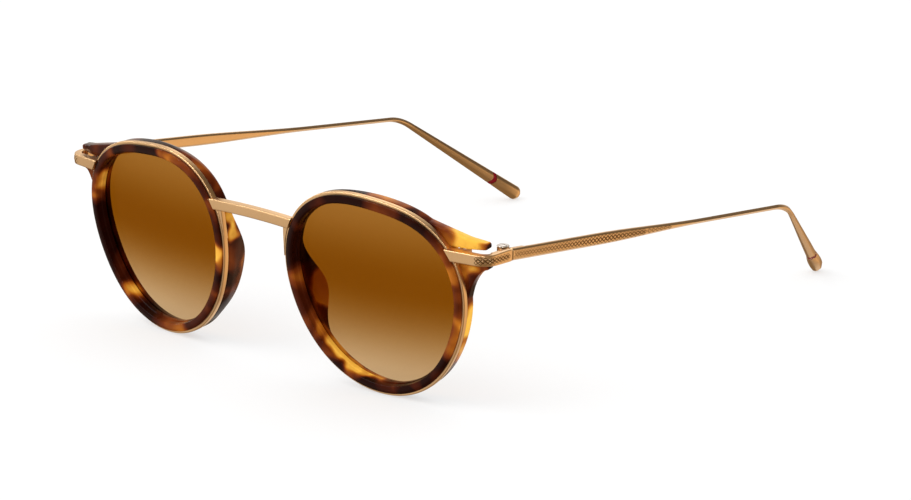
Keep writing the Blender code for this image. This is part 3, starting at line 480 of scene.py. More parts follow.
def joint_place():
    """Place of the left hinge joint's centre line in level axes."""
    place = outline_point(END_ANGLE, WALL_GAP_RING)
    start = level_point(1, place.x, place.y, 0.0)
    return Vector((HINGE_X, start.y + END_SETBACK, start.z))


JOINT = joint_place()
LEFT_FOLD = [joint for joint in frame["joints"] if joint["name"] == "left_fold"][0]
HINGE = Vector(LEFT_FOLD["pos_m"])
LEVEL = HINGE - JOINT


def at_eye(side, u, v, depth):
    """World place of a point in the eye's frame."""
    return LEVEL + level_point(side, u, v, depth)


def at_rim(side, angle, offset, depth):
    """World place of a point at an outline angle, an outward offset and a depth."""
    place = outline_point(angle, offset)
    return at_eye(side, place.x, place.y, depth)


def mirrored(side, place):
    """A place or direction of the left side, mirrored for the right one."""
    return Vector((side * place.x, place.y, place.z))


def at_front(place):
    """World place of a point in the axes of the front."""
    return LEVEL + FRONT_TURN @ place


# Making meshes


def bend(start, pull, end, t):
    """Place at a share of the curve from start to end that leans toward the pull."""
    return start * (1 - t) ** 2 + pull * (2 * t * (1 - t)) + end * t ** 2


def rounded(corners, arc_steps=5):
    """A closed section whose corners, given as (x, y, rounding), are turned into arcs."""
    points = []
    count = len(corners)
    for index, (x, y, rounding) in enumerate(corners):
        here = Vector((x, y))
        if rounding <= 0:
            points.append(here)
            continue
        to_before = Vector(corners[index - 1][:2]) - here
        to_after = Vector(corners[(index + 1) % count][:2]) - here
        reach = min(rounding, to_before.length * 0.49, to_after.length * 0.49)
        start = here + to_before.normalized() * reach
        end = here + to_after.normalized() * reach
        points += [bend(start, here, end, step / arc_steps) for step in range(arc_steps + 1)]
    return points


def loft(rings, closed=False):
    """A skin over rings of points; an open one gets a flat face at each end."""
    mesh_data = bmesh.new()
    rows = [[mesh_data.verts.new(point) for point in ring] for ring in rings]
    count = len(rows[0])
    last = len(rows) if closed else len(rows) - 1
    for index in range(last):
        here, there = rows[index], rows[(index + 1) % len(rows)]
        for corner in range(count):
            beside = (corner + 1) % count
            mesh_data.faces.new((here[corner], here[beside], there[beside], there[corner]))
    if not closed:
        mesh_data.faces.new(rows[0])
        mesh_data.faces.new(rows[-1])
    return mesh_data


def chamfered(rings, cut):
    """Rings with the edge round the last one cut back."""
    middle = sum(rings[-1], Vector()) / len(rings[-1])
    back = (sum(rings[-2], Vector()) / len(rings[-2]) - middle).normalized()
    shoulder = [point + back * cut for point in rings[-1]]
    inset = [point + (middle - point).normalized() * cut for point in rings[-1]]
    return rings[:-1] + [shoulder, inset]


def turned(profile, steps, centre):
    """A turned solid about the vertical through the centre, from (radius, height) pairs."""
    turns = [2 * math.pi * step / steps for step in range(steps)]
    return loft([
        [centre + Vector((radius * math.cos(turn), radius * math.sin(turn), height)) for turn in turns]
        for radius, height in profile
    ])


def new_object(name, data):
    """An object in the scene that shows the given data."""
    item = bpy.data.objects.new(name, data)
    bpy.context.scene.collection.objects.link(item)
    return item


def make_piece(name, mesh_data, material, sharp_angle=40.0):
    """An object in the scene from a mesh, closed, facing outward and shaded smooth."""
    bmesh.ops.recalc_face_normals(mesh_data, faces=mesh_data.faces)
    mesh = bpy.data.meshes.new(name)
    mesh_data.to_mesh(mesh)
    mesh_data.free()
    item = new_object(name, mesh)
    shade(item, material, sharp_angle)
    return item


def shade(item, material, sharp_angle=40.0):
    """Smooth shading with crisp edges, and the piece's one material."""
    item.data.materials.clear()
    item.data.materials.append(material)
    for face in item.data.polygons:
        face.material_index = 0
    item.data.shade_smooth()
    item.data.set_sharp_from_angle(angle=math.radians(sharp_angle))


def bake_modifiers(item):
    """Turns an object's modifiers into plain mesh."""
    bpy.context.view_layer.update()
    graph = bpy.context.evaluated_depsgraph_get()
    mesh = bpy.data.meshes.new_from_object(item.evaluated_get(graph))
    item.modifiers.clear()
    item.data = mesh
    mesh.name = item.name
    if not mesh.polygons:
        raise RuntimeError(f"{item.name} came out empty")


def combine(item, tool, operation):
    """Applies one exact boolean to an object and removes the second object."""
    modifier = item.modifiers.new(operation.title(), "BOOLEAN")
    modifier.operation = operation
    modifier.solver = "EXACT"
    modifier.object = tool
    bake_modifiers(item)
    bpy.data.objects.remove(tool, do_unlink=True)


def mount(item, body, slot, *nodes):
    """Lets a finished piece ride with its body and stand for the frame's own nodes."""
    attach(item, body)
    if nodes:
        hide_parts(*nodes)


# Node trees


class Wire:
    """A number that runs between nodes and can be used in expressions."""

    def __init__(self, tree, socket):
        self.tree = tree
        self.socket = socket

    def other(self, output):
        """Another output of the same node."""
        return Wire(self.tree, self.socket.node.outputs[output])

    def _math(self, operation, first, second):
        return self.tree.node("ShaderNodeMath", {"operation": operation}, {0: first, 1: second})

    def __add__(self, other):
        return self._math("ADD", self, other)

    def __radd__(self, other):
        return self._math("ADD", other, self)

    def __sub__(self, other):
        return self._math("SUBTRACT", self, other)

    def __rsub__(self, other):
        return self._math("SUBTRACT", other, self)

    def __mul__(self, other):
        return self._math("MULTIPLY", self, other)

    def __rmul__(self, other):
        return self._math("MULTIPLY", other, self)

    def __truediv__(self, other):
        return self._math("DIVIDE", self, other)

    def __gt__(self, other):
        return self._math("GREATER_THAN", self, other)


class Tree:
    """A node tree with one method that makes any node."""

    def __init__(self, node_tree):
        self.node_tree = node_tree

    def node(self, kind, settings=None, inputs=None, output=0):
        """Makes a node, its settings first, then values or links by socket name or number."""
        made = self.node_tree.nodes.new(kind)
        for key, value in (settings or {}).items():
            if key == "stops":
                self._set_stops(made.color_ramp, value)
            else:
                setattr(made, key, value)
        for key, value in (inputs or {}).items():
            target = made.inputs[key]
            if isinstance(value, Wire):
                self.node_tree.links.new(value.socket, target)
            else:
                target.default_value = value
        if not made.outputs:
            return made
        return Wire(self, made.outputs[output])

    @staticmethod
    def _set_stops(ramp, stops):
        while len(ramp.elements) < len(stops):
            ramp.elements.new(1.0)
        for element, (place, colour) in zip(ramp.elements, stops):
            element.position = place
            element.color = (*colour, 1.0)


def new_material(name):
    """An empty material and its tree."""
    material = bpy.data.materials.new(name)
    material.use_nodes = True
    material.node_tree.nodes.clear()
    return material, Tree(material.node_tree)


def once(make):
    """Keeps the material that a recipe makes, so that every piece shares it."""
    kept = []

    def get():
        if not kept:
            kept.append(make())
        return kept[0]

    return get


def place_on_object(tree):
    """Object coordinates."""
    return tree.node("ShaderNodeTexCoord", output=3)


def noise(tree, place, width, detail=2.0, roughness=0.5, output=0):
    """Noise whose usual feature has the given width in metres."""
    inputs = {"Vector": place, "Scale": 1.0 / width, "Detail": detail, "Roughness": roughness}
    return tree.node("ShaderNodeTexNoise", None, inputs, output)


def mix_colours(tree, share, first, second):
    """A colour between two."""
    settings = {"data_type": "RGBA"}
    return tree.node("ShaderNodeMix", settings, {0: share, 6: first, 7: second}, output=2)


def mix_shaders(tree, share, first, second):
    """A shader between two."""
    return tree.node("ShaderNodeMixShader", None, {0: share, 1: first, 2: second})


def vector_math(tree, operation, inputs, output=0):
    """One step of maths on vectors; its output 1 is a number."""
    return tree.node("ShaderNodeVectorMath", {"operation": operation}, inputs, output)


def fade(tree, value, start, end, first=0.0, last=1.0, curve="SMOOTHSTEP"):
    """A number that runs softly from first to last while a value goes from start to end."""
    return tree.node("ShaderNodeMapRange", {"interpolation_type": curve},
                     {0: value, 1: start, 2: end, 3: first, 4: last})


@once
def tortoise_acetate():
    """Polished tortoise acetate: a russet ground with soft dark blotches and honey streaks, and a
    painted glow.
    """
    look = bpy.context.scene.sunglasses_acetate
    material, tree = new_material("tortoise_acetate")
    place = place_on_object(tree)
    drift = noise(tree, place, look.blotch_size * 0.6, detail=1.0, output=1)
    sway = Vector((ACETATE_SWAY, ACETATE_SWAY, ACETATE_SWAY))
    bent = vector_math(tree, "MULTIPLY_ADD", {0: drift, 1: sway, 2: place})
    tone = (noise(tree, bent, look.blotch_size, detail=1.5) - 0.5) * BLOTCH_CONTRAST + look.ground
    for side_name, side in SIDES:
        for angle, offset, depth, radius, lift in PATCHES[side_name]:
            centre = at_rim(side, angle, offset * MM, depth * MM) + sway / 2
            away = vector_math(tree, "DISTANCE", {0: bent, 1: centre}, output=1)
            tone = tone + fade(tree, away, radius * PATCH_CORE * MM, radius * PATCH_EDGE * MM,
                               lift, 0.0, "SMOOTHERSTEP")
    stops = ((0.16, look.dark), (0.32, look.brown), (0.46, look.russet), (0.62, look.amber),
             (0.84, look.honey))
    colour = tree.node("ShaderNodeValToRGB", {"stops": stops}, {0: tone})
    streak = noise(tree, bent, STREAK_WIDTH)
    shaded = mix_colours(tree, (streak - STREAK_LEVEL) * STREAK_DEPTH, colour, (*look.brown, 1.0))
    shader = tree.node("ShaderNodeBsdfPrincipled", None, {
        "Base Color": shaded,
        "Roughness": look.roughness,
        "IOR": 1.5,
        "Specular IOR Level": 0.08,
        # Painted glow: the acetate emits its own colour, so its clear places seem to pass light on.
        "Emission Color": shaded,
        "Emission Strength": look.glow,
    })
    tree.node("ShaderNodeOutputMaterial", None, {"Surface": shader})
    return material


def satin_metal(name, bright, shade_colour, roughness, grain, bump_strength):
    """Blasted metal: a fine grain in its colour, gloss and surface."""
    material, tree = new_material(name)
    place = place_on_object(tree)
    speck = noise(tree, place, grain, roughness=0.6)
    cloud = noise(tree, place, CLOUD_WIDTH)
    share = (speck - 0.35) * SPECK_CONTRAST + (cloud - 0.5) * CLOUD_CONTRAST
    limited = tree.node("ShaderNodeClamp", None, {0: share})
    colour = mix_colours(tree, limited, (*shade_colour, 1.0), (*bright, 1.0))
    relief = tree.node("ShaderNodeBump", None,
                       {"Strength": bump_strength, "Distance": SPECK_HEIGHT, "Height": speck})
    shader = tree.node("ShaderNodeBsdfPrincipled", None, {
        "Base Color": colour,
        "Metallic": 1.0,
        "Roughness": speck * SPECK_GLOSS + (roughness - SPECK_GLOSS / 2),
        "Normal": relief,
    })
    tree.node("ShaderNodeOutputMaterial", None, {"Surface": shader})
    return material


@once
def champagne_gold():
    """Satin champagne gold of the rims, bridge and temples."""
    look = bpy.context.scene.sunglasses_metal
    return satin_metal("champagne_gold", look.colour, look.shade, look.roughness, look.grain,
                       bump_strength=0.12)


@once
def painted_groove_gold():
    """Dark gold in the grooves of the engraving: painted shade for the depth of the cut."""
    look = bpy.context.scene.sunglasses_metal
    painted_groove_specks = [channel * 0.8 for channel in look.painted_groove_colour]
    return satin_metal("painted_groove_floor", look.painted_groove_colour, painted_groove_specks, look.roughness + 0.1, look.grain,
                       bump_strength=0.3)


@once
def screw_steel():
    """Bright steel of the screws."""
    look = bpy.context.scene.sunglasses_metal
    return satin_metal("screw_steel", look.steel, look.steel_shade, roughness=0.3, grain=0.3 * MM,
                       bump_strength=0.1)


@once
def crimson_enamel():
    """Dark red enamel of the rings before the tips."""
    look = bpy.context.scene.sunglasses_metal
    material, tree = new_material("crimson_enamel")
    cloud = noise(tree, place_on_object(tree), 1.2 * MM)
    colour = mix_colours(tree, cloud, (*look.enamel_shade, 1.0), (*look.enamel, 1.0))
    shader = tree.node("ShaderNodeBsdfPrincipled", None,
                       {"Base Color": colour, "Roughness": 0.2, "Specular IOR Level": 0.2})
    tree.node("ShaderNodeOutputMaterial", None, {"Surface": shader})
    return material


@once
def gradient_lens():
    """Brown lens, deepest a little above its middle and clearer toward the bottom."""
    look = bpy.context.scene.sunglasses_lens
    material, tree = new_material("gradient_lens")
    centre = at_eye(1, 0.0, 0.0, LENS_SEAT_DEPTH)
    upward = (FRONT_TURN @ Vector((0.0, 0.0, 1.0))).normalized()
    dot = vector_math(tree, "DOT_PRODUCT", {0: place_on_object(tree), 1: upward}, output=1)
    height = (dot - Vector((0.0, centre.y, centre.z)).dot(upward)) / LENS_HEIGHT
    upper, middle, lower = [
        tree.node("ShaderNodeBsdfTransparent", None, {"Color": (*colour, 1.0)})
        for colour in (look.upper, look.middle, look.lower)
    ]
    top = mix_shaders(tree, fade(tree, height, *LENS_FADE_UP), middle, upper)
    tinted = mix_shaders(tree, fade(tree, height, *LENS_FADE_DOWN), top, lower)
    mirror = tree.node("ShaderNodeBsdfGlossy", None,
                       {"Color": (1.0, 0.97, 0.92, 1.0), "Roughness": 0.03})
    share = tree.node("ShaderNodeFresnel", None, {"IOR": 1.5}) * look.sheen
    shader = mix_shaders(tree, share, tinted, mirror)
    tree.node("ShaderNodeOutputMaterial", None, {"Surface": shader})
    return material


def new_shape_tree(name, sockets):
    """An empty tree for shapes, and the wires of its named inputs."""
    node_tree = bpy.data.node_groups.new(name, "GeometryNodeTree")
    node_tree.interface.new_socket(name="Guide", in_out="INPUT", socket_type="NodeSocketGeometry")
    for socket_name, socket_type in sockets:
        node_tree.interface.new_socket(name=socket_name, in_out="INPUT", socket_type=socket_type)
    node_tree.interface.new_socket(name="Shape", in_out="OUTPUT", socket_type="NodeSocketGeometry")
    tree = Tree(node_tree)
    entry = node_tree.nodes.new("NodeGroupInput")
    given = {socket.name: Wire(tree, socket) for socket in entry.outputs if socket.name}
    return tree, given


def close_shape_tree(tree, shape, material):
    """Ends a tree for shapes: real geometry, its material, and the output."""
    real = tree.node("GeometryNodeRealizeInstances", None, {0: shape})
    finished = tree.node("GeometryNodeSetMaterial", None, {"Geometry": real, "Material": material})
    exit_node = tree.node_tree.nodes.new("NodeGroupOutput")
    tree.node_tree.links.new(finished.socket, exit_node.inputs[0])
    return tree.node_tree


def guide_line(name, points, **fields):
    """A line of edges through points, with one value or vector kept at each for every field."""
    mesh = bpy.data.meshes.new(name)
    mesh.from_pydata(points, [(index, index + 1) for index in range(len(points) - 1)], [])
    for field, values in fields.items():
        is_vector = isinstance(values[0], Vector)
        kept = mesh.attributes.new(field, "FLOAT_VECTOR" if is_vector else "FLOAT", "POINT")
        for index, value in enumerate(values):
            setattr(kept.data[index], "vector" if is_vector else "value", value)
    return new_object(name, mesh)


def grow_shape(item, node_tree, values):
    """Runs a tree for shapes on an object with the given inputs and keeps the plain mesh."""
    modifier = item.modifiers.new(node_tree.name, "NODES")
    modifier.node_group = node_tree
    for socket in node_tree.interface.items_tree:
        if socket.in_out == "INPUT" and socket.name in values:
            modifier[socket.identifier] = values[socket.name]
    bake_modifiers(item)
    for name in LATTICE_FIELDS:
        if name in item.data.attributes:
            item.data.attributes.remove(item.data.attributes[name])


# Rims


def rim_angles(steps, split_angle=None):
    """Outline angles round an eye, or from one side of the split to the other."""
    if split_angle is None:
        return [360.0 * step / steps for step in range(steps)]
    half_split = math.degrees(BAND_SPLIT / (LENS_WIDTH + LENS_HEIGHT) * 2)
    span = 360.0 - 2 * half_split
    return [split_angle + half_split + span * step / steps for step in range(steps + 1)]


def rim_rings(side, angles, section):
    """Rings of a rim whose section gives (offset, depth) points at each angle."""
    return [[at_rim(side, angle, offset, depth) for offset, depth in section(angle % 360.0)]
            for angle in angles]


def ring_section(_angle):
    """Front ring: a stepped inner wall, a crisp lip, a crowned face, and the hidden sleeve."""
    sizes = bpy.context.scene.sunglasses_rims
    sleeve_end = LENS_SEAT_DEPTH - FIT_GAP
    step_depth = sleeve_end * RING_STEP_SHARE
    edge = RING_FACE - sizes.ring_inset
    crest = RING_CREST_SHARE
    corners = [
        (-RING_INNER_DRAFT, sleeve_end, 0.06 * MM),
        (-RING_INNER_DRAFT, step_depth + RING_STEP_RISE, 0.1 * MM),
        (-RING_INNER_DRAFT * 0.35, step_depth, 0.1 * MM),
        (0.0, sizes.ring_crown * 0.7, sizes.ring_lip_round),
    ]
    for step in range(1, RING_FACE_STEPS):
        share = step / RING_FACE_STEPS
        away = (share - crest) / (1 - crest) if share > crest else (crest - share) / crest * 0.8
        corners.append((edge * share, sizes.ring_crown * away * away, 0.0))
    corners += [
        (edge, sizes.ring_crown, sizes.ring_edge_round),
        (edge, RING_SIDE, 0.04 * MM),
        (RING_SLEEVE, RING_SIDE, 0.0),
        (RING_SLEEVE, sleeve_end, 0.06 * MM),
    ]
    return rounded(corners)


def rear_section(angle):
    """Rear rim with the lens rebate, the bevelled back and, at the nose, the pad."""
    sizes = bpy.context.scene.sunglasses_rims
    pad = bump(angle, PAD_ANGLES)
    brow = bump(angle, REAR_BROW_ANGLES)
    side_end = REAR_BACK - REAR_BACK_BEVEL - REAR_BROW_BEVEL * brow
    edge_offset = REAR_OFFSET - REAR_BACK_BEVEL * 0.75 - PAD_LEAN * pad * pad
    edge_depth = REAR_BACK + PAD_REACH * pad
    outer_corner = Vector((edge_offset + PAD_EDGE * 0.35 - REAR_BROW_BEVEL * 0.4 * brow,
                           edge_depth - PAD_EDGE * 0.25 - REAR_BROW_BEVEL * 0.3 * brow))
    inner_corner = Vector((edge_offset - PAD_EDGE * 0.65, edge_depth - PAD_EDGE * 0.35 * pad))
    side_corner = Vector((REAR_OFFSET, side_end))
    lip_depth = LENS_SEAT_DEPTH + sizes.lens_edge + FIT_GAP
    lip_corner = Vector((REAR_LIP_OFFSET + REAR_LIP, REAR_BACK))
    outer_swell = (side_corner + outer_corner) / 2 + Vector((PAD_SWELL * pad, 0))
    inner_swell = (inner_corner + lip_corner) / 2 + Vector((PAD_SWELL * 0.6 * pad, 0))
    soft = sizes.rear_round
    return rounded((
        (BAND_INNER, REAR_FRONT, 0.0),
        (REAR_OFFSET, REAR_FRONT, soft * 0.8),
        (*side_corner, soft),
        (*outer_swell, 4 * soft),
        (*outer_corner, soft),
        (edge_offset - REAR_BROW_BEVEL * 0.4 * brow, edge_depth, soft),
        (*inner_corner, soft),
        (*inner_swell, 4 * soft),
        (*lip_corner, soft * 0.4),
        (REAR_LIP_OFFSET, lip_depth + 0.3 * MM, 0.1 * MM),
        (REAR_LIP_OFFSET, lip_depth, 0.0),
        (BAND_INNER, lip_depth, 0.0),
    ))


def slot_limits():
    """Lower and upper v of the slot between the wing's lobes."""
    depth = (REAR_FRONT + REAR_BACK) / 2
    zero = level_point(1, WING_TIP_U, 0.0, depth).z
    middle = (JOINT.z - zero) / math.cos(FRONT_TILT)
    half = END_HEIGHT / 2 + SLOT_ROOM
    return middle - half, middle + half


def upper_lobe_edge():
    """Edge of the upper lobe as (v, u) from the slot round the tip and up the straight top."""
    slot_top = slot_limits()[1]
    radius = WING_UPPER_LOBE * 0.45
    edge = []
    tip_steps = 16
    for step in range(tip_steps + 1):
        turn = math.pi * (step / tip_steps - 0.5)
        height = radius if turn < 0 else WING_UPPER_LOBE - radius
        edge.append((slot_top + height + radius * math.sin(turn),
                     WING_TIP_U + radius * (math.cos(turn) - 1)))
    v, u = edge[-1]
    rise = 0.06 * MM
    while u > wall_u(v, REAR_OFFSET - 0.5 * MM) and v < LENS_HEIGHT / 2:
        v += rise
        u -= rise / WING_TOP_SLOPE
        edge.append((v, u))
    return edge


def lower_lobe_edge():
    """Edge of the lower lobe as (v, u) from the rim up the hollow curve and round the tip."""
    slot_low = slot_limits()[0]
    radius = WING_LOWER_LOBE / 2
    root = outline_point(WING_ROOT_ANGLE, REAR_OFFSET - 0.3 * MM)
    tip = Vector((WING_TIP_U - radius, slot_low - WING_LOWER_LOBE))
    pull = tip - Vector((WING_HOLLOW, WING_HOLLOW_DROP))
    edge = []
    hollow_steps, tip_steps = 48, 12
    for step in range(hollow_steps + 1):
        place = bend(root, pull, tip, step / hollow_steps)
        edge.append((place.y, place.x))
    for step in range(1, tip_steps + 1):
        turn = math.pi * (step / tip_steps - 0.5)
        edge.append((slot_low - WING_LOWER_LOBE + radius * (math.sin(turn) + 1),
                     WING_TIP_U + radius * (math.cos(turn) - 1)))
    return edge


def lobe_rings(side, edge, slot_first):
    """Rings of a lobe, one for each row of its edge, rounded all round and swept back outward."""
    soft = bpy.context.scene.sunglasses_rims.wing_round
    slot_v = edge[0][0] if slot_first else edge[-1][0]
    root_u = LENS_WIDTH / 2 + REAR_OFFSET
    root_offset = (BAND_INNER + REAR_OFFSET) / 2
    flat_steps, arc_steps = 8, 6
    rings = []
    for index, (v, outer_u) in enumerate(edge):
        before, after = edge[max(index - 1, 0)], edge[min(index + 1, len(edge) - 1)]
        run = math.hypot(after[0] - before[0], after[1] - before[1])
        slope = max(abs(after[0] - before[0]) / run, 0.22)
        from_slot = min(abs(v - slot_v) / soft, 1.0)
        thin = soft * (1 - math.sqrt(1 - (1 - from_slot) ** 2))
        inner_u = wall_u(v, root_offset)
        soft_u = min(soft / slope, max(outer_u - inner_u, 0.1 * MM) * 0.6)
        inner_u = min(inner_u, outer_u - soft_u * 1.5)
        front = REAR_FRONT + WING_INSET + thin
        back = REAR_BACK - WING_INSET - REAR_BACK_BEVEL / 4 - thin
        flat_u = outer_u - soft_u
        soft_depth = min(soft, (back - front) / 2)
        half = [(inner_u + (flat_u - inner_u) * step / flat_steps, 0.0) for step in range(flat_steps)]
        for step in range(arc_steps + 1):
            turn = math.pi / 2 * step / arc_steps
            half.append((flat_u + soft_u * math.sin(turn), soft_depth * (1 - math.cos(turn))))
        places = [(u, front + deep) for u, deep in half] + [(u, back - deep) for u, deep in half[::-1]]
        ring = []
        for u, depth in places:
            sweep = WING_SWEEP * smooth((u - root_u) / (WING_TIP_U - root_u))
            ring.append(at_eye(side, u, v, depth + sweep))
        rings.append(ring)
    return rings


def lens_mesh(side):
    """Domed lens that thickens from its thin edge toward the middle."""
    edge = bpy.context.scene.sunglasses_rims.lens_edge
    steps = 144
    rows = 18
    shares = [1.0 - row / rows for row in range(rows)]
    angles = [360.0 * step / steps for step in range(steps)]
    mesh_data = bmesh.new()

    def loop(offset, share, depth, rise):
        dome = rise * (1 - share * share)
        places = [outline_point(angle, offset) * share for angle in angles]
        return [mesh_data.verts.new(at_eye(side, p.x, p.y, depth - dome)) for p in places]

    def face(depth, rise):
        loops = [loop(RING_SLEEVE, 1.0, depth, 0.0)]
        loops += [loop(RING_SLEEVE - LENS_FLAT_EDGE, share, depth, rise) for share in shares]
        centre = mesh_data.verts.new(at_eye(side, 0, 0, depth - rise))
        for outer, inner in zip(loops, loops[1:]):
            for index in range(steps):
                beside = (index + 1) % steps
                mesh_data.faces.new((outer[index], outer[beside], inner[beside], inner[index]))
        for index in range(steps):
            mesh_data.faces.new((loops[-1][index], loops[-1][(index + 1) % steps], centre))
        return loops[0]

    front = face(LENS_SEAT_DEPTH, LENS_DOME)
    back = face(LENS_SEAT_DEPTH + edge, LENS_DOME + edge - LENS_THICKNESS)
    for index in range(steps):
        beside = (index + 1) % steps
        mesh_data.faces.new((front[index], front[beside], back[beside], back[index]))
    return mesh_data


def band_tree():
    """Sweeps a rounded flat section along a guide line, for the metal bands round the rims."""
    sockets = (("Width", "NodeSocketFloat"), ("Depth", "NodeSocketFloat"),
               ("Rounding", "NodeSocketFloat"), ("Facing", "NodeSocketVector"))
    tree, given = new_shape_tree("Rim band", sockets)
    line = tree.node("GeometryNodeMeshToCurve", None, {0: given["Guide"]})
    aimed = tree.node("GeometryNodeSetCurveNormal", {"mode": "FREE"},
                      {"Curve": line, "Normal": given["Facing"]})
    flat = tree.node("GeometryNodeCurvePrimitiveQuadrilateral", {"mode": "RECTANGLE"},
                     {"Width": given["Depth"], "Height": given["Width"]})
    soft = tree.node("GeometryNodeFilletCurve", {"mode": "POLY"},
                     {"Curve": flat, "Count": 5, "Radius": given["Rounding"]})
    swept = tree.node("GeometryNodeCurveToMesh", None,
                      {"Curve": aimed, "Profile Curve": soft, "Fill Caps": True})
    return close_shape_tree(tree, swept, champagne_gold())


# Bridge, end pieces and temples


def bar_section(depth, height, rounding, step_depth):
    """Cross-section (back, up) of a rounded bar with a point at the step of the rims."""
    half = height / 2
    return rounded((
        (0.0, half, rounding),
        (step_depth, half, 0.0),
        (depth, half, rounding),
        (depth, -half, rounding),
        (step_depth, -half, 0.0),
        (0.0, -half, rounding),
    ))


def bridge_rings():
    """Rings of the bar between the two bands."""
    rounding = bpy.context.scene.sunglasses_wires.bar_round
    middle_v = outline_point(BRIDGE_ANGLE, WALL_GAP_BAND).y
    start_u = wall_u(middle_v, WALL_GAP_BAND, inner_side=True)
    front_y = front_point(1, start_u, 0, 0).y + FIT_GAP
    section = bar_section(BRIDGE_DEPTH, BRIDGE_HEIGHT, rounding, RING_SIDE)
    ends = []
    for back, up in section:
        wall = WALL_GAP_RING if back < RING_SIDE else WALL_GAP_BAND
        u = wall_u(middle_v + up, wall, inner_side=True)
        depth = (front_y + back - u * math.sin(FACE_WRAP)) / math.cos(FACE_WRAP)
        ends.append(front_point(1, u, 0, depth).x)
    rings = []
    half_steps = 24
    for step in range(-half_steps, half_steps + 1):
        share = step / half_steps
        lift = BRIDGE_ARCH * (1 - share * share)
        rings.append([
            at_front(Vector((x * share, front_y + back, middle_v + up + lift)))
            for x, (back, up) in zip(ends, section)
        ])
    return rings


def gusset_rings(side):
    """Rings of the web on the outer wall of a rim, wide under the bar and narrow at its lower end."""
    inner = WALL_GAP_BAND + GUSSET_END_WIDTH * 0.05
    front = BAND_START + FIT_GAP
    back = front + GUSSET_DEPTH
    soft = GUSSET_END_WIDTH * 0.45
    steps = 40
    rings = []
    for step in range(steps + 1):
        share = step / steps
        angle = BRIDGE_ANGLE + GUSSET_SWEEP * (share * (1 - GUSSET_OVERLAP) - GUSSET_OVERLAP)
        width = (GUSSET_TOP_WIDTH - GUSSET_TIP_WIDTH) * (1 - share) ** GUSSET_TAPER
        outer = WALL_GAP_BAND + GUSSET_TIP_WIDTH + width
        corners = ((inner, front, 0.0), (outer, front, soft), (outer, back, soft), (inner, back, 0.0))
        rings.append([at_rim(side, angle, offset, depth) for offset, depth in rounded(corners)])
    return rings


def end_path(steps=60):
    """Plan path of the left end piece's outer face: (place, heading, share) triples."""
    place = outline_point(END_ANGLE, WALL_GAP_BAND)
    start = level_point(1, place.x, place.y, 0.0)
    line = Vector((math.cos(END_HEADING), math.sin(END_HEADING)))
    centre_x = HALF_WIDTH - END_BEND_RADIUS
    run = (centre_x - start.x + END_BEND_RADIUS * math.sin(END_HEADING)) / line.x
    begin = Vector((start.x, start.y))
    centre = begin + line * run + Vector((-line.y, line.x)) * END_BEND_RADIUS
    last_y = JOINT.y - FIT_GAP / 2
    arc = END_BEND_RADIUS * (math.pi / 2 - END_HEADING)
    total = run + arc + last_y - centre.y
    path = []
    for step in range(1, steps + 1):
        travelled = total * step / steps
        if travelled < run:
            path.append((begin + line * travelled, END_HEADING, travelled / total))
        elif travelled < run + arc:
            turn = END_HEADING + (travelled - run) / END_BEND_RADIUS
            outward = Vector((math.sin(turn), -math.cos(turn)))
            path.append((centre + outward * END_BEND_RADIUS, turn, travelled / total))
        else:
            y = centre.y + travelled - run - arc
            path.append((Vector((HALF_WIDTH, y)), math.pi / 2, travelled / total))
    return path


def end_size(share):
    """Depth and height of the end piece at a share of its length."""
    depth = END_DEPTH + (TEMPLE_THICKNESS - END_DEPTH) * smooth((share - 0.3) / 0.5)
    height = END_HEIGHT + (TEMPLE_HEIGHT - END_HEIGHT) * smooth((share - 0.4) / 0.6)
    return depth, height


def end_rings(side):
    """Rings of the bar from the wall of the rim outward, round the bend and back to the joint."""
    rounding = bpy.context.scene.sunglasses_wires.bar_round
    start_v = outline_point(END_ANGLE, WALL_GAP_RING).y
    first = []
    for back, up in bar_section(END_DEPTH, END_START_HEIGHT, rounding, RING_SIDE):
        wall = WALL_GAP_RING if back < RING_SIDE else WALL_GAP_BAND
        first.append(level_point(1, wall_u(start_v + up, wall), start_v + up, back))
    rings = []
    blend = 0.35
    for place, heading, share in end_path():
        depth, height = end_size(share)
        inward = Vector((-math.sin(heading), math.cos(heading)))
        ring = []
        for back, up in bar_section(depth, height, rounding * 0.8, min(RING_SIDE, depth / 2)):
            point = place + inward * back
            ring.append(Vector((point.x, point.y, JOINT.z + up)))
        rings.append((share, ring))
    anchor = [ring for share, ring in rings if share >= blend][0]
    blended = [first]
    for share, ring in rings:
        if share < blend:
            ring = [a.lerp(b, share / blend) for a, b in zip(first, anchor)]
        blended.append(ring)
    blended = chamfered(blended, JOINT_CHAMFER)
    return [[LEVEL + mirrored(side, point) for point in ring] for ring in blended]


def temple_stations():
    """Path of the left temple from the joint: (distance, place, direction, across) in hinge axes."""
    floor = -LEFT_FOLD["pos_m"][2]
    bend_length = EAR_BEND_RADIUS * (EAR_DROP - TEMPLE_FALL)
    step = 0.25 * MM
    place = Vector((HALF_WIDTH - JOINT.x - TEMPLE_THICKNESS / 2, FIT_GAP / 2, 0.0))
    travelled = 0.0
    stations = []
    while travelled < TEMPLE_STRAIGHT + bend_length or place.z > floor + PADDLE_HEIGHT / 2:
        share = min(max((travelled - TEMPLE_STRAIGHT) / bend_length, 0.0), 1.0)
        pitch = TEMPLE_FALL + (EAR_DROP - TEMPLE_FALL) * share
        turned_in = smooth((travelled - TEMPLE_STRAIGHT) / EAR_TURN_LENGTH)
        yaw = TEMPLE_TOE_IN + (EAR_TURN_IN - TEMPLE_TOE_IN) * turned_in
        across = Vector((math.cos(yaw), math.sin(yaw), 0.0))
        level = Vector((-math.sin(yaw), math.cos(yaw), 0.0))
        direction = level * math.cos(pitch) - Vector((0.0, 0.0, math.sin(pitch)))
        stations.append((travelled, place.copy(), direction, across))
        place = place + direction * step
        travelled += step
    return stations


STATIONS = temple_stations()
TEMPLE_TOTAL = STATIONS[-1][0]


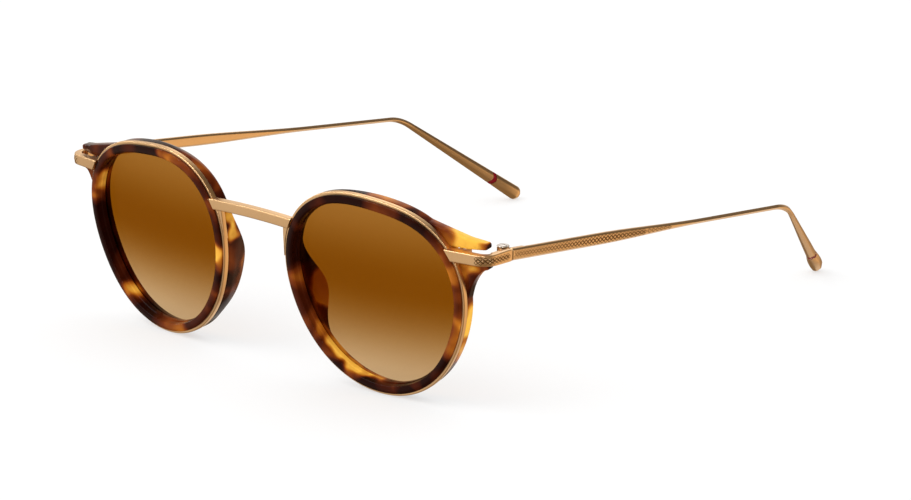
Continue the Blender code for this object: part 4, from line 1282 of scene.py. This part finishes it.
def station_at(distance):
    """Place, direction and across at a distance along the temple, between two stations."""
    step = STATIONS[1][0] - STATIONS[0][0]
    index = min(max(int(distance / step), 0), len(STATIONS) - 2)
    here, there = STATIONS[index], STATIONS[index + 1]
    share = (distance - here[0]) / (there[0] - here[0])
    return (here[1].lerp(there[1], share), here[2].lerp(there[2], min(share, 1.0)).normalized(),
            here[3].lerp(there[3], min(share, 1.0)).normalized())


def temple_size(distance):
    """Height, thickness and corner cut of the temple at a distance from the joint."""
    narrowing = smooth((distance - TEMPLE_BAND_LENGTH) / TEMPLE_TAPER_LENGTH)
    height = TEMPLE_HEIGHT + (TEMPLE_ROD - TEMPLE_HEIGHT) * narrowing
    thickness = TEMPLE_THICKNESS + (TEMPLE_ROD - TEMPLE_THICKNESS) * narrowing
    corner = TEMPLE_CORNER + (ROD_CORNER - TEMPLE_CORNER) * narrowing ** 2
    widening = (distance - TEMPLE_STRAIGHT) / (TEMPLE_TOTAL - TEMPLE_STRAIGHT)
    widening = min(max(widening, 0.0), 1.0)
    height += (PADDLE_HEIGHT - TEMPLE_ROD) * widening
    thickness += (PADDLE_THICKNESS - TEMPLE_ROD) * smooth(widening)
    corner += (PADDLE_CORNER - ROD_CORNER) * smooth(widening)
    return height, thickness, corner


def temple_ring(side, distance, height, thickness, corner, bow=0.0, forward=0.0):
    """Ring of the temple's section; a bow pushes the middle of its flats toward the tip."""
    place, direction, across = station_at(distance)
    upward = across.cross(direction)
    if upward.z < 0:
        upward = -upward
    a, b = thickness / 2, height / 2
    facet = corner * 0.35
    corners = (
        (a, b - corner, facet), (a, 0.0, 0.0), (a, corner - b, facet), (a - corner, -b, facet),
        (corner - a, -b, facet), (-a, corner - b, facet), (-a, 0.0, 0.0), (-a, b - corner, facet),
        (corner - a, b, facet), (a - corner, b, facet),
    )
    ring = []
    for x, z in rounded(corners, arc_steps=3):
        push = bow * (1 - min(abs(z) / b, 1.0)) * (1.0 if x > 0 else INNER_BOW_SHARE)
        point = HINGE + place + across * x + upward * z + direction * (forward + push)
        ring.append(mirrored(side, point))
    return ring


def distances(start, end, spacing):
    """Evenly spread distances from start to end, about the given spacing apart."""
    count = max(1, round((end - start) / spacing))
    return [start + (end - start) * index / count for index in range(count + 1)]


def ring_start():
    """Distance along the temple at which the enamel ring begins."""
    return TEMPLE_TOTAL - TIP_LENGTH - TIP_RING_WIDTH + PADDLE_HEIGHT / 2


def temple_rings(side):
    """Rings of the temple from the joint to the enamel ring."""
    sizes = bpy.context.scene.sunglasses_wires
    end = ring_start() - FIT_GAP / 2
    bow_length = 6 * MM
    rings = []
    for mark in distances(0.0, end, sizes.temple_spacing):
        height, thickness, corner = temple_size(mark)
        bow = sizes.ring_bow * smooth(1 - (end - mark) / bow_length)
        rings.append(temple_ring(side, mark, height, thickness, corner, bow))
    first_y = LEFT_FOLD["pos_m"][1] + FIT_GAP / 2
    heading = station_at(0.0)[1]
    for point in rings[0]:
        slide = (first_y - point.y) / heading.y
        point += mirrored(side, heading) * slide
    return chamfered(rings[::-1], JOINT_CHAMFER)


def enamel_rings(side):
    """Rings of the enamel ring, which follows the bowed end of the temple."""
    bow = bpy.context.scene.sunglasses_wires.ring_bow
    start = ring_start() + FIT_GAP / 4
    end = ring_start() + TIP_RING_WIDTH - FIT_GAP / 4
    edge = 0.12 * MM
    rings = []
    for mark, inset in ((start, edge), (start + edge, 0.0), (end - edge, 0.0), (end, edge)):
        height, thickness, corner = temple_size(mark)
        rings.append(temple_ring(side, mark, height - inset, thickness - inset, corner, bow))
    return rings


def tip_rings(side):
    """Rings of the tip from the enamel ring to its round nose."""
    bow_size = bpy.context.scene.sunglasses_wires.ring_bow
    start = ring_start() + TIP_RING_WIDTH + FIT_GAP / 2
    rings = []
    for mark in distances(start, TEMPLE_TOTAL, 0.3 * MM):
        height, thickness, corner = temple_size(mark)
        travelled = (mark - start) / (TEMPLE_TOTAL - start)
        thickness += TIP_SWELL * math.sin(math.pi * 0.75 * travelled)
        bow = bow_size * (1 - smooth(travelled * 1.4))
        rings.append(temple_ring(side, mark, height, thickness, corner, bow))
    radius = height / 2
    for degrees in (10, 20, 30, 40, 50, 60, 70, 79, 86):
        shrink = math.cos(math.radians(degrees))
        reach = radius * math.sin(math.radians(degrees))
        sizes = (height * shrink, thickness * shrink, corner * shrink)
        rings.append(temple_ring(side, TEMPLE_TOTAL, *sizes, forward=reach))
    return rings


# Engraving


def lattice_tree(name, material):
    """Sets staggered rows of low diamonds on the columns of a guide where there is room for them."""
    sockets = (("Height", "NodeSocketFloat"), ("Top share", "NodeSocketFloat"),
               ("Whole cells", "NodeSocketFloat"), ("Half rows", "NodeSocketInt"))
    tree, given = new_shape_tree(name, sockets)

    def kept(field, data_type="FLOAT"):
        return tree.node("GeometryNodeInputNamedAttribute", {"data_type": data_type}, {"Name": field})

    along, facing = kept("along", "FLOAT_VECTOR"), kept("facing", "FLOAT_VECTOR")
    pitch, row, room = kept("pitch"), kept("row"), kept("room")
    fill = kept("fill") * (1 - given["Whole cells"]) + given["Whole cells"]
    columns = tree.node("GeometryNodeMeshToPoints", None, {"Mesh": given["Guide"]})
    rows = tree.node("GeometryNodeDuplicateElements", {"domain": "POINT"},
                     {"Geometry": columns, "Amount": given["Half rows"]})
    index = rows.other(1)
    lift = (index - (given["Half rows"] - 1) * 0.5) * row * 0.5
    odd = tree.node("ShaderNodeMath", {"operation": "MODULO"}, {0: index, 1: 2.0})
    upward = vector_math(tree, "CROSS_PRODUCT", {0: facing, 1: along})
    raised = vector_math(tree, "SCALE", {0: upward, "Scale": lift})
    shifted = vector_math(tree, "SCALE", {0: along, "Scale": odd * pitch * 0.5})
    offset = vector_math(tree, "ADD", {0: raised, 1: shifted})
    too_high = tree.node("ShaderNodeMath", {"operation": "ABSOLUTE"}, {0: lift}) + row * 0.5 > room
    marked = tree.node("GeometryNodeDeleteGeometry", {"domain": "POINT"},
                       {"Geometry": rows, "Selection": too_high})
    placed = tree.node("GeometryNodeSetPosition", None, {"Geometry": marked, "Offset": offset})
    turn = tree.node("FunctionNodeAxesToRotation", {"primary_axis": "Z", "secondary_axis": "X"},
                     {0: facing, 1: along})
    diamond = tree.node("GeometryNodeMeshCone", {"fill_type": "NGON"}, {
        "Vertices": 4, "Side Segments": 1, "Fill Segments": 1, "Radius Top": given["Top share"] * 0.5,
        "Radius Bottom": 0.5, "Depth": 1.0})
    size = tree.node("ShaderNodeCombineXYZ", None, {0: pitch * fill, 1: row * fill, 2: given["Height"]})
    lattice = tree.node("GeometryNodeInstanceOnPoints", None,
                        {"Points": placed, "Instance": diamond, "Rotation": turn, "Scale": size})
    return close_shape_tree(tree, lattice, material)


def growing(start, end, first, last):
    """Marks from start to end whose spacing grows from first to last, with the share of the way."""
    marks = []
    mark = start
    while mark < end:
        share = (mark - start) / (end - start)
        marks.append((mark, share))
        mark += first + (last - first) * share
    return marks


def temple_guide(side):
    """Columns of the lattice along the middle of the temple's outer face."""
    sizes = bpy.context.scene.sunglasses_engraving
    columns = []
    for mark, share in growing(1.0 * MM, sizes.reach, sizes.first_pitch, sizes.last_pitch):
        place, direction, across = station_at(mark)
        height, thickness, corner = temple_size(mark)
        room = height / 2 - corner + CORNER_MARGIN
        row = sizes.first_row + (sizes.last_row - sizes.first_row) * share
        columns.append({
            "point": mirrored(side, HINGE + place + across * (thickness / 2)),
            "along": mirrored(side, direction),
            "facing": mirrored(side, across),
            "pitch": sizes.first_pitch + (sizes.last_pitch - sizes.first_pitch) * share,
            "row": min(row, room) if room > CHAIN_ROOM else CHAIN_SHARE * room,
            "fill": sizes.first_fill + (sizes.last_fill - sizes.first_fill) * share,
            "room": room * ROOM_SLACK,
        })
    return columns


def end_guide(side):
    """Columns of the lattice along the middle of the end piece's outer face, to the joint."""
    sizes = bpy.context.scene.sunglasses_engraving
    columns = []
    last = None
    for place, heading, share in end_path(steps=240):
        point = LEVEL + Vector((side * place.x, place.y, JOINT.z))
        spaced = last is None or (point - last).length >= sizes.first_pitch
        if END_STRETCH[0] < share < END_STRETCH[1] and spaced:
            last = point
            columns.append({
                "point": point,
                "along": Vector((side * math.cos(heading), math.sin(heading), 0.0)),
                "facing": Vector((side * math.sin(heading), -math.cos(heading), 0.0)),
                "pitch": sizes.first_pitch,
                "row": sizes.first_row,
                "fill": sizes.last_fill * END_FILL,
                "room": sizes.first_row * ROOM_SLACK,
            })
    return columns


def lay_lattice(name, columns, node_tree, material, body, values):
    """One lattice of diamonds on the columns of a guide, as a plain piece on its body."""
    fields = {field: [column[field] for column in columns] for field in LATTICE_FIELDS}
    item = guide_line(name, [column["point"] for column in columns], **fields)
    grow_shape(item, node_tree, values)
    shade(item, material, sharp_angle=20.0)
    mount(item, body, "gold")


# Hinges


def knuckle_plan(arm_end):
    """Round eye about the axis with an arm that runs along +y into the leaf."""
    arm_inset = HINGE_LEAF_THICKNESS / 12
    arm_outer = HINGE_RADIUS - arm_inset
    arm_inner = HINGE_RADIUS - HINGE_LEAF_THICKNESS + arm_inset
    start = math.asin(arm_outer / HINGE_RADIUS)
    end = 2 * math.pi + math.asin(arm_inner / HINGE_RADIUS)
    points = [(arm_inner, arm_end), (arm_outer, arm_end)]
    steps = 48
    for step in range(steps + 1):
        turn = start + (end - start) * step / steps
        points.append((HINGE_RADIUS * math.sin(turn), HINGE_RADIUS * math.cos(turn)))
    return points


def hinge_piece(name, side, leaf_sign, leaf_length, layers, lean, fall):
    """Knuckles on one leaf, with the bore of the screw."""
    centre = mirrored(side, HINGE)
    arm_end = HINGE_RADIUS + 2 * FIT_GAP
    half = HINGE_LEAF_HEIGHT / 2
    leaf_inner = HINGE_RADIUS - HINGE_LEAF_THICKNESS
    soft = 0.2 * MM
    corners = ((leaf_inner, -half, soft), (HINGE_RADIUS, -half, soft * 0.4),
               (HINGE_RADIUS, half, soft * 0.4), (leaf_inner, half, soft))
    rings = []
    for y in (arm_end, arm_end + leaf_length):
        shift = Vector((side * y * math.tan(lean), 0, y * math.tan(fall)))
        rings.append([centre + Vector((side * x, leaf_sign * y, z)) - shift
                      for x, z in rounded(corners)])
    part = make_piece(name, loft(rings), champagne_gold())
    plan = [(centre.x + side * x, centre.y + leaf_sign * y)
            for x, y in knuckle_plan(arm_end + HINGE_LEAF_THICKNESS / 2)]
    for low, high in layers:
        eye = [[Vector((x, y, centre.z + height)) for x, y in plan] for height in (low, high)]
        combine(part, make_piece("knuckle", loft(eye), champagne_gold()), "UNION")
    reach = HINGE_SIDE_KNUCKLE + HINGE_MIDDLE_KNUCKLE
    radius = HINGE_SCREW_RADIUS + FIT_GAP
    bore = turned(((radius, -reach), (radius, reach)), 48, centre)
    combine(part, make_piece("bore", bore, champagne_gold()), "DIFFERENCE")
    shade(part, champagne_gold())
    return part


def screw_piece(name, side):
    """Hinge screw with a domed, slotted head."""
    centre = mirrored(side, HINGE)
    half = HINGE_MIDDLE_KNUCKLE / 2
    side_high = half + FIT_GAP + HINGE_SIDE_KNUCKLE
    shoulder = side_high + FIT_GAP
    rim = HINGE_HEAD_HEIGHT * 0.3
    dome = HINGE_HEAD_HEIGHT - rim
    profile = [
        (HINGE_SCREW_RADIUS, -side_high),
        (HINGE_SCREW_RADIUS, shoulder),
        (HINGE_HEAD_RADIUS * 0.96, shoulder),
        (HINGE_HEAD_RADIUS, shoulder + rim / 3),
    ]
    for step in range(9):
        turn = math.pi / 2 * step / 9
        profile.append((HINGE_HEAD_RADIUS * math.cos(turn), shoulder + rim + dome * math.sin(turn)))
    profile.append((HINGE_HEAD_RADIUS * 0.08, shoulder + HINGE_HEAD_HEIGHT))
    screw = make_piece(name, turned(profile, 48, centre), screw_steel())
    half_slot = SCREW_SLOT_WIDTH / 2
    beyond = HINGE_HEAD_RADIUS * 1.4
    top = centre.z + shoulder + HINGE_HEAD_HEIGHT
    corners = ((-beyond, -half_slot), (beyond, -half_slot), (beyond, half_slot), (-beyond, half_slot))
    rings = [[Vector((centre.x + x, centre.y + y, z)) for x, y in corners]
             for z in (top - SCREW_SLOT_DEPTH, top + SCREW_SLOT_DEPTH)]
    combine(screw, make_piece("slot", loft(rings), screw_steel()), "DIFFERENCE")
    shade(screw, screw_steel(), sharp_angle=30.0)
    return screw


# Operators


class FrontRings(bpy.types.Operator):
    """Builds the two acetate rings on the front."""

    bl_idname = "sunglasses.front_rings"
    bl_label = "Front rings"

    def execute(self, context):
        steps = context.scene.sunglasses_rims.outline_steps
        for side_name, side in SIDES:
            rings = rim_rings(side, rim_angles(steps), ring_section)
            ring = make_piece("ring_" + side_name, loft(rings, closed=True), tortoise_acetate(),
                              sharp_angle=50.0)
            mount(ring, "front", "acetate", "front_ring_" + side_name)
        return {"FINISHED"}


class RimBands(bpy.types.Operator):
    """Builds the two metal bands round the rings."""

    bl_idname = "sunglasses.rim_bands"
    bl_label = "Rim bands"

    def execute(self, context):
        sizes = context.scene.sunglasses_rims
        node_tree = band_tree()
        depth = (BAND_START + BAND_END) / 2
        offset = (BAND_INNER + BAND_OFFSET) / 2
        for side_name, side in SIDES:
            points = [at_rim(side, angle, offset, depth)
                      for angle in rim_angles(sizes.outline_steps, END_ANGLE)]
            facing = (at_eye(side, 0, 0, 1.0) - at_eye(side, 0, 0, 0.0)).normalized()
            band = guide_line("band_" + side_name, points)
            grow_shape(band, node_tree, {
                "Width": BAND_OFFSET - BAND_INNER, "Depth": BAND_DEPTH,
                "Rounding": sizes.band_round, "Facing": facing})
            shade(band, champagne_gold())
            mount(band, "front", "gold", "rim_band_" + side_name)
        return {"FINISHED"}


class RearRims(bpy.types.Operator):
    """Builds the acetate rear rims with their pads and two-lobed wings."""

    bl_idname = "sunglasses.rear_rims"
    bl_label = "Rear rims"

    def execute(self, context):
        steps = context.scene.sunglasses_rims.outline_steps
        acetate = tortoise_acetate()
        for side_name, side in SIDES:
            rings = rim_rings(side, rim_angles(steps), rear_section)
            rim = make_piece("rim_" + side_name, loft(rings, closed=True), acetate)
            for edge, slot_first in ((upper_lobe_edge(), True), (lower_lobe_edge(), False)):
                lobe = make_piece("lobe", loft(lobe_rings(side, edge, slot_first)), acetate)
                combine(rim, lobe, "UNION")
            shade(rim, acetate, sharp_angle=45.0)
            mount(rim, "front", "acetate", "rear_rim_" + side_name)
        return {"FINISHED"}


class Lenses(bpy.types.Operator):
    """Builds the two domed gradient lenses."""

    bl_idname = "sunglasses.lenses"
    bl_label = "Lenses"

    def execute(self, context):
        for side_name, side in SIDES:
            glass = make_piece("glass_" + side_name, lens_mesh(side), gradient_lens(), sharp_angle=30.0)
            mount(glass, "front", "lens", "lens_" + side_name)
        return {"FINISHED"}


class Bridge(bpy.types.Operator):
    """Builds the bridge bar with its gusset webs."""

    bl_idname = "sunglasses.bridge"
    bl_label = "Bridge"

    def execute(self, context):
        bar = make_piece("bridge_bar", loft(bridge_rings()), champagne_gold())
        for _, side in SIDES:
            combine(bar, make_piece("gusset", loft(gusset_rings(side)), champagne_gold()), "UNION")
        shade(bar, champagne_gold())
        mount(bar, "front", "gold", "bridge")
        return {"FINISHED"}


class EndPieces(bpy.types.Operator):
    """Builds the end pieces and finishes the closing blocks with their screws."""

    bl_idname = "sunglasses.end_pieces"
    bl_label = "End pieces"

    def execute(self, context):
        for side_name, side in SIDES:
            bar = make_piece("end_bar_" + side_name, loft(end_rings(side)), champagne_gold())
            mount(bar, "front", "gold", "end_piece_" + side_name)
            for node, material, slot in (("rim_lock_", champagne_gold(), "gold"),
                                         ("lock_screw_", screw_steel(), "screw")):
                kept = frame["nodes"][node + side_name]
                kept.data.materials.clear()
                kept.data.materials.append(material)
        return {"FINISHED"}


class Hinges(bpy.types.Operator):
    """Builds the hinge leaves, knuckles and screws."""

    bl_idname = "sunglasses.hinges"
    bl_label = "Hinges"

    def execute(self, context):
        half = HINGE_MIDDLE_KNUCKLE / 2
        low = half + FIT_GAP
        high = low + HINGE_SIDE_KNUCKLE
        for side_name, side in SIDES:
            front = hinge_piece("hinge_leaf_front_" + side_name, side, -1, HINGE_FRONT_LEAF,
                                ((-high, -low), (low, high)), 0.0, 0.0)
            mount(front, "front", "gold", "hinge_front_" + side_name)
            rear = hinge_piece("hinge_leaf_rear_" + side_name, side, 1, HINGE_TEMPLE_LEAF,
                               ((-half, half),), TEMPLE_TOE_IN, TEMPLE_FALL)
            mount(rear, side_name + "_temple", "gold", "hinge_rear_" + side_name)
            screw = screw_piece("screw_" + side_name, side)
            mount(screw, "front", "screw", "hinge_screw_" + side_name)
        return {"FINISHED"}


class Temples(bpy.types.Operator):
    """Builds the temples with their enamel rings and tips."""

    bl_idname = "sunglasses.temples"
    bl_label = "Temples"

    def execute(self, context):
        for side_name, side in SIDES:
            for name, rings, material, slot, node in (
                    ("arm_", temple_rings(side), champagne_gold(), "gold", "temple_"),
                    ("enamel_", enamel_rings(side), crimson_enamel(), "enamel", "tip_ring_"),
                    ("tip_", tip_rings(side), champagne_gold(), "gold", "temple_tip_")):
                piece = make_piece(name + side_name, loft(rings), material, sharp_angle=28.0)
                mount(piece, side_name + "_temple", slot, node + side_name)
        return {"FINISHED"}


class Engraving(bpy.types.Operator):
    """Lays the diamond lattice on the end pieces and temples."""

    bl_idname = "sunglasses.engraving"
    bl_label = "Engraving"

    def execute(self, context):
        relief = context.scene.sunglasses_engraving.relief
        layers = (
            ("diamonds", champagne_gold(), relief, 0.7, 0.0),
            # The grooves' layer is a dark sheet under the diamonds: painted shade in the cut.
            ("grooves", painted_groove_gold(), relief * 0.2, 1.0, 1.0),
        )
        for label, material, height, top_share, whole_cells in layers:
            node_tree = lattice_tree("Lattice of " + label, material)
            values = {"Height": height, "Top share": top_share, "Whole cells": whole_cells,
                      "Half rows": LATTICE_HALF_ROWS}
            for side_name, side in SIDES:
                lay_lattice(f"temple_{label}_{side_name}", temple_guide(side), node_tree, material,
                            side_name + "_temple", values)
                lay_lattice(f"end_{label}_{side_name}", end_guide(side), node_tree, material,
                            "front", values)
        return {"FINISHED"}


class Stage(bpy.types.Operator):
    """Sets up the floor, the studio, the lamp and the camera."""

    bl_idname = "sunglasses.stage"
    bl_label = "Stage"

    def execute(self, context):
        look = context.scene.sunglasses_stage
        make_floor(look)
        make_world(look)
        make_lamp(look)
        make_camera()
        return {"FINISHED"}


def seen_by_mirrors(tree):
    """1 for rays that polished faces or clear ones send out, 0 for others."""
    path = tree.node("ShaderNodeLightPath", output="Is Glossy Ray")
    return tree.node("ShaderNodeMath", {"operation": "MAXIMUM"},
                     {0: path, 1: path.other("Is Transmission Ray")})


def make_floor(look):
    """A wide pale floor that keeps the glasses' shadow and lets mirrors see the studio."""
    half = 15.0
    mesh = bpy.data.meshes.new("floor")
    mesh.from_pydata([(-half, -half, 0), (half, -half, 0), (half, half, 0), (-half, half, 0)], [],
                     [(0, 1, 2, 3)])
    floor = new_object("floor", mesh)
    material, tree = new_material("floor")
    matte = tree.node("ShaderNodeBsdfDiffuse", None, {"Color": (*look.floor, 1.0)})
    white = tree.node("ShaderNodeEmission", None, {"Color": (1.0, 1.0, 1.0, 1.0)})
    path = tree.node("ShaderNodeLightPath", output="Is Camera Ray")
    paled = mix_shaders(tree, path * (1 - look.shadow), matte, white)
    clear = tree.node("ShaderNodeBsdfTransparent")
    shader = mix_shaders(tree, seen_by_mirrors(tree), paled, clear)
    tree.node("ShaderNodeOutputMaterial", None, {"Surface": shader})
    mesh.materials.append(material)


def make_world(look):
    """Even light for the object, white for the camera, and a studio for polished faces to mirror."""
    world = bpy.data.worlds.new("studio")
    bpy.context.scene.world = world
    world.use_nodes = True
    world.node_tree.nodes.clear()
    tree = Tree(world.node_tree)
    direction = tree.node("ShaderNodeTexCoord", output=0)

    def pool(aim, start, end, strength):
        aimed = {0: direction, 1: Vector(aim).normalized()}
        toward = vector_math(tree, "DOT_PRODUCT", aimed, output=1)
        return fade(tree, toward, start, end, 0.0, strength)

    def glow(strength, colour=(1.0, 1.0, 1.0, 1.0)):
        return tree.node("ShaderNodeBackground", None, {"Color": colour, "Strength": strength})

    warm = pool(*WARM_POOL) + look.dim + pool(*DARK_POOL, -DARK_POOL_SHARE * look.dim)
    strength = pool(*LIGHT_POOLS[0])
    for light_pool in LIGHT_POOLS[1:]:
        strength = strength + pool(*light_pool)
    along = vector_math(tree, "DOT_PRODUCT", {0: direction, 1: ARCH_AXIS}, output=1)
    off = tree.node("ShaderNodeMath", {"operation": "ABSOLUTE"}, {0: along - ARCH_COSINE})
    arch = fade(tree, off, ARCH_FULL, ARCH_END, look.arch, 0.0)
    strength = strength + arch * pool(*ARCH_HORIZON)
    room = tree.node("ShaderNodeAddShader", None, {0: glow(strength), 1: glow(warm, WARM_COLOUR)})
    mirrored_light = mix_shaders(tree, seen_by_mirrors(tree), glow(look.sky), room)
    camera_ray = tree.node("ShaderNodeLightPath", output="Is Camera Ray")
    shader = mix_shaders(tree, camera_ray, mirrored_light, glow(1.0))
    tree.node("ShaderNodeOutputWorld", None, {"Surface": shader})


def make_lamp(look):
    """A large square lamp that faces the glasses."""
    lamp = bpy.data.lights.new("key", "AREA")
    lamp.shape = "SQUARE"
    lamp.size = LAMP_SIZE
    lamp.energy = look.key
    item = new_object("key", lamp)
    item.location = LAMP_PLACE
    item.rotation_mode = "QUATERNION"
    item.rotation_quaternion = (Vector(LAMP_AIM) - Vector(LAMP_PLACE)).to_track_quat("-Z", "Y")


def make_camera():
    """The camera of the studio view."""
    lens = bpy.data.cameras.new("camera")
    lens.sensor_width = 36.0
    lens.lens = CAMERA_LENS
    lens.clip_start = 0.01
    lens.clip_end = 50.0
    camera = new_object("camera", lens)
    axes = Matrix((CAMERA_RIGHT, -CAMERA_DOWN, -CAMERA_FORWARD)).transposed().to_4x4()
    camera.matrix_world = Matrix.Translation(CAMERA_PLACE) @ axes
    bpy.context.scene.camera = camera


class SunglassesPanel(bpy.types.Panel):
    """Lists the steps that build the sunglasses."""

    bl_idname = "VIEW3D_PT_sunglasses"
    bl_label = "Folding sunglasses"
    bl_space_type = "VIEW_3D"
    bl_region_type = "UI"
    bl_category = "Sunglasses"

    def draw(self, context):
        for operator in OPERATORS:
            self.layout.operator(operator.bl_idname)


GROUPS = (
    ("sunglasses_rims", RimSizes),
    ("sunglasses_wires", WireSizes),
    ("sunglasses_engraving", EngravingSizes),
    ("sunglasses_acetate", AcetateLook),
    ("sunglasses_metal", MetalLook),
    ("sunglasses_lens", LensLook),
    ("sunglasses_stage", StageLook),
)
OPERATORS = (
    FrontRings, RimBands, RearRims, Lenses, Bridge, EndPieces, Hinges, Temples, Engraving, Stage)


def register():
    """Registers the settings, the operators and the panel."""
    for name, group in GROUPS:
        bpy.utils.register_class(group)
        setattr(bpy.types.Scene, name, bpy.props.PointerProperty(type=group))
    for operator in OPERATORS:
        bpy.utils.register_class(operator)
    bpy.utils.register_class(SunglassesPanel)


def unregister():
    """Takes out what register put in."""
    bpy.utils.unregister_class(SunglassesPanel)
    for operator in reversed(OPERATORS):
        bpy.utils.unregister_class(operator)
    for name, group in reversed(GROUPS):
        delattr(bpy.types.Scene, name)
        bpy.utils.unregister_class(group)


def main():
    """Builds every piece in order."""
    register()
    for operator in OPERATORS:
        area, name = operator.bl_idname.split(".")
        getattr(getattr(bpy.ops, area), name)()
    bpy.context.scene.view_settings.view_transform = "Standard"


if __name__ == "__main__":
    main()
